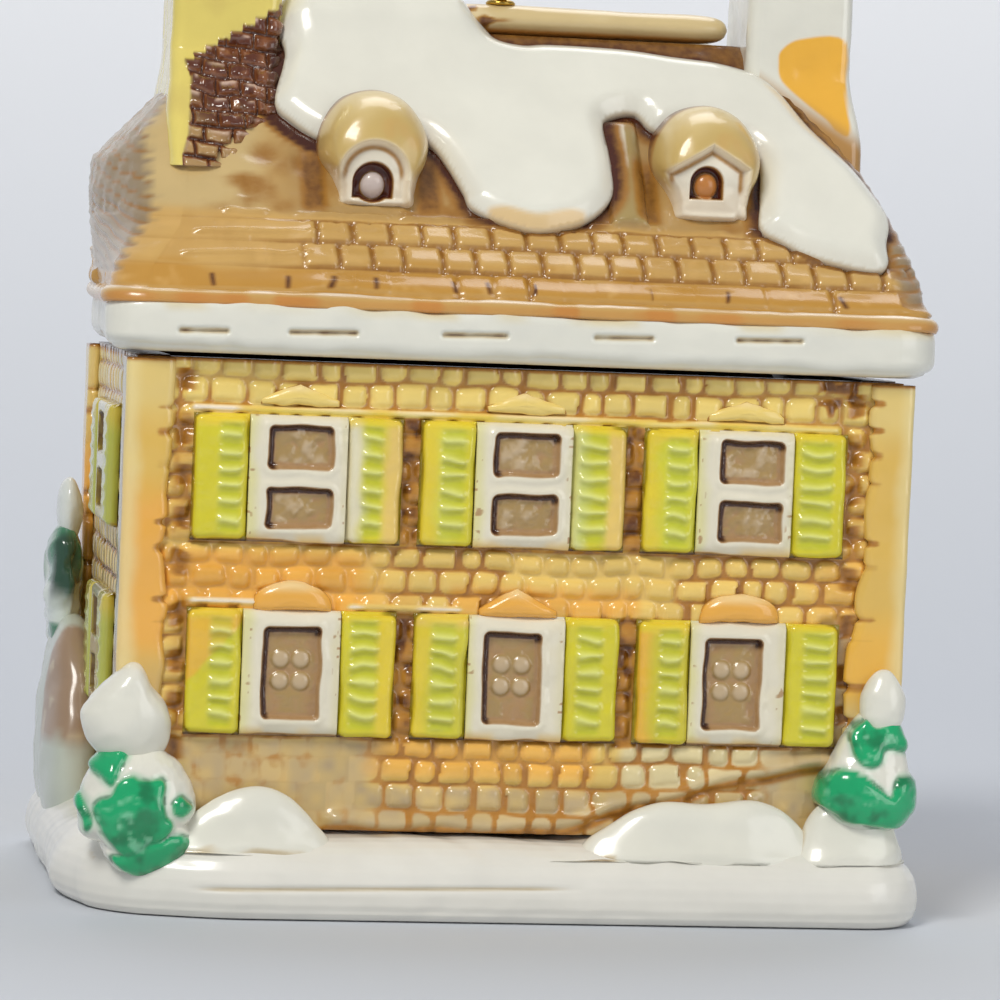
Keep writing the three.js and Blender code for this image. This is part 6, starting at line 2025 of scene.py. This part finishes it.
@dataclass(frozen=True)
class HangingGear:
    """The brass eye in the ridge and the ring that swings in it."""

    ring: tuple[float, float, float] = (73.325, 3.7, 0.4)  # height of its middle, radius and the wire's radius
    eye: tuple[float, float, float] = (68.955, 1.75, 0.425)
    flange: tuple[tuple[float, float], ...] = (  # radius and height
        (0.42, 65.0), (0.42, 66.6), (1.1, 66.7), (1.12, 66.85), (0.98, 67.0), (0.62, 67.1), (0.3, 67.14),
    )

    @staticmethod
    def hoop(name: str, size: tuple[float, float, float], along_x: bool) -> bpy.types.Object:
        """A torus: a circle of wire carried round a circle that stands in the XZ or the YZ plane."""
        centre, radius, wire = size
        u = np.linspace(0, 2 * math.pi, 97)[:-1, None]
        v = np.linspace(0, 2 * math.pi, 25)[:-1]
        out, level = radius + wire * np.cos(v), wire * np.sin(v)
        across, up = out * np.cos(u), out * np.sin(u) + centre
        points = xyz(across, -level, up) if along_x else xyz(level, across, up)
        return loft(name, points[:, ::-1], Canvas(up.shape, BEIGE), True)

    def build(self, shelf: Shelf) -> None:
        """Makes the ring on its own body, and the eye with its flange on the house."""
        shelf.dress(self.hoop("ring_wire", self.ring, True), Finish.BRASS, "hanging_ring", body=RING)
        shelf.dress(self.hoop("eye_wire", self.eye, False), Finish.BRASS, "hanging_eye")
        radius, z = np.array(self.flange).T[..., None]
        a = np.linspace(0, 2 * math.pi, 49)[:-1]
        points = xyz(radius * np.cos(a), radius * np.sin(a), z)
        shelf.dress(loft("eye_flange", points, Canvas(points.shape[:2], BEIGE)), Finish.BRASS, "hanging_eye")


# light, camera and stage


@dataclass(frozen=True)
class Studio:
    """The pale sweep, the soft lamps and the camera at the photograph's angle."""

    yaw: float = math.radians(10)
    tilt: float = math.radians(4)
    roll: float = math.radians(2.4)
    distance: float = 330.0
    target: tuple[float, float, float] = (0.0, -18.0, 25.0)
    focal: float = 4.570  # in frame widths
    axis: tuple[float, float] = (518.0, 574.0)  # where the lens axis meets the 1000 by 1000 frame
    sensor: float = 36.0
    bend: float = 0.4  # radius of the sweep, in metres

    def camera(self) -> None:
        """Places the camera from its yaw, tilt and roll, and shifts the frame off the lens axis."""
        cy, sy, ce, se = math.cos(self.yaw), math.sin(self.yaw), math.cos(self.tilt), math.sin(self.tilt)
        forward, right = np.array([sy * ce, cy * ce, -se]), np.array([cy, -sy, 0.0])
        up = np.cross(right, forward)
        cr, sr = math.cos(self.roll), math.sin(self.roll)
        right, up = right * cr + up * sr, -right * sr + up * cr
        lens = bpy.data.cameras.new("camera")
        lens.sensor_width, lens.sensor_fit = self.sensor, "HORIZONTAL"
        lens.lens = self.sensor * self.focal
        lens.shift_x, lens.shift_y = (500 - self.axis[0]) / 1000, (self.axis[1] - 500) / 1000
        lens.clip_start = 0.01
        eye = placed("camera", lens)
        matrix = np.eye(4)
        matrix[:3, :3] = np.stack([right, up, -forward], 1)
        matrix[:3, 3] = (np.array(self.target) + np.array([HOUSE_SHIFT, 0, 0]) - forward * self.distance) * MM
        eye.matrix_world = Matrix(matrix.tolist())
        bpy.context.scene.camera = eye

    @staticmethod
    def lamp(name: str, place: Sequence[float], size: float, power: float, tint: Colour = (1, 1, 1)) -> None:
        """A square area lamp that faces the ornament; its tint is linear."""
        light = bpy.data.lights.new(name, "AREA")
        light.shape, light.size, light.energy, light.color = "SQUARE", size, power, tint
        lamp = placed(name, light)
        lamp.location = place
        lamp.rotation_euler = (Vector((0, 0, 0.035)) - Vector(place)).to_track_quat("-Z", "Y").to_euler()

    def sweep(self) -> None:
        """A pale floor that curves up behind the ornament, with painted shade: it lightens from the floor to
        0.13 m up.
        """
        x, a = np.linspace(-1.5, 1.5, 25), np.linspace(0.1, math.pi / 2, 16)
        y = np.concatenate([[-1.6, 0.1], 0.1 + self.bend * np.sin(a), [0.5]])
        z = np.concatenate([[0, 0], self.bend * (1 - np.cos(a)), [1.8]])
        points = xyz(x, y[:, None], z[:, None])
        mesh = bpy.data.meshes.new("sweep")
        mesh.from_pydata(points.reshape(-1, 3).tolist(), [], grid_quads(*points.shape[:2], False).tolist())
        mesh.shade_smooth()
        floor = placed("sweep", mesh)
        graph = Graph("pale_paper_painted_shade")
        height = graph.add("SeparateXYZ", {"Vector": graph.place}).outputs["Z"]
        share = graph.add("MapRange", {"Value": height, "From Max": 0.13}).outputs["Result"]
        # painted shade: darker on the floor, lighter up the sweep
        tone = graph.ramp(share, (0.0, linear((203, 207, 214))), (1.0, linear((252, 253, 255))))
        graph.feed(graph.shader, {"Base Color": tone, "Roughness": 0.9, "Specular IOR Level": 0.1})
        mesh.materials.append(graph.material)

    def build(self) -> None:
        """Sets the view, the world, the lamps and the sweep."""
        self.camera()
        scene = bpy.context.scene
        scene.view_settings.view_transform = "Standard"
        scene.world = bpy.data.worlds.new("room")
        scene.world.use_nodes = True
        background = scene.world.node_tree.nodes["Background"].inputs
        background["Color"].default_value = (0.93, 0.95, 1.0, 1)
        background["Strength"].default_value = 0.34
        self.lamp("key", (-0.28, -0.42, 0.52), 0.2, 2.55, (1.0, 0.98, 0.93))
        self.lamp("fill", (0.45, -0.5, 0.2), 0.4, 0.9)
        self.lamp("back", (0.1, 0.35, 0.6), 0.4, 1.2)
        self.sweep()


def main() -> None:
    """Builds the stage, then every sub-assembly in order."""
    logging.basicConfig(level=logging.INFO, format="%(message)s")
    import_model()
    Studio().build()
    shelf = Shelf()
    Walls().build(shelf)
    Openings().build(shelf)
    for depth, side_y in (("front", -1), ("back", 1)):
        for hand, side_x in (("left", -1), ("right", 1)):
            CornerStrip(f"pilaster_{depth}_{hand}", side_x, side_y).build(shelf)
    Eave().build(shelf)
    Roof().build(shelf)
    RoofSnow().build(shelf)
    Dormer("left", -10.75, (1.45, 51.65, 52.75), -0.35, (206, 190, 182)).build(shelf)
    Dormer("right", 14.05, (1.2, 52.6, 53.75), -0.55, (190, 124, 62)).build(shelf)
    Chimney("left", -21.0, 53.4).build(shelf)
    Chimney("right", 22.4, 53.6).build(shelf)
    RidgeRoll().build(shelf)
    Ground().build(shelf)
    Pines().build(shelf)
    HangingGear().build(shelf)


if __name__ == "__main__":
    main()
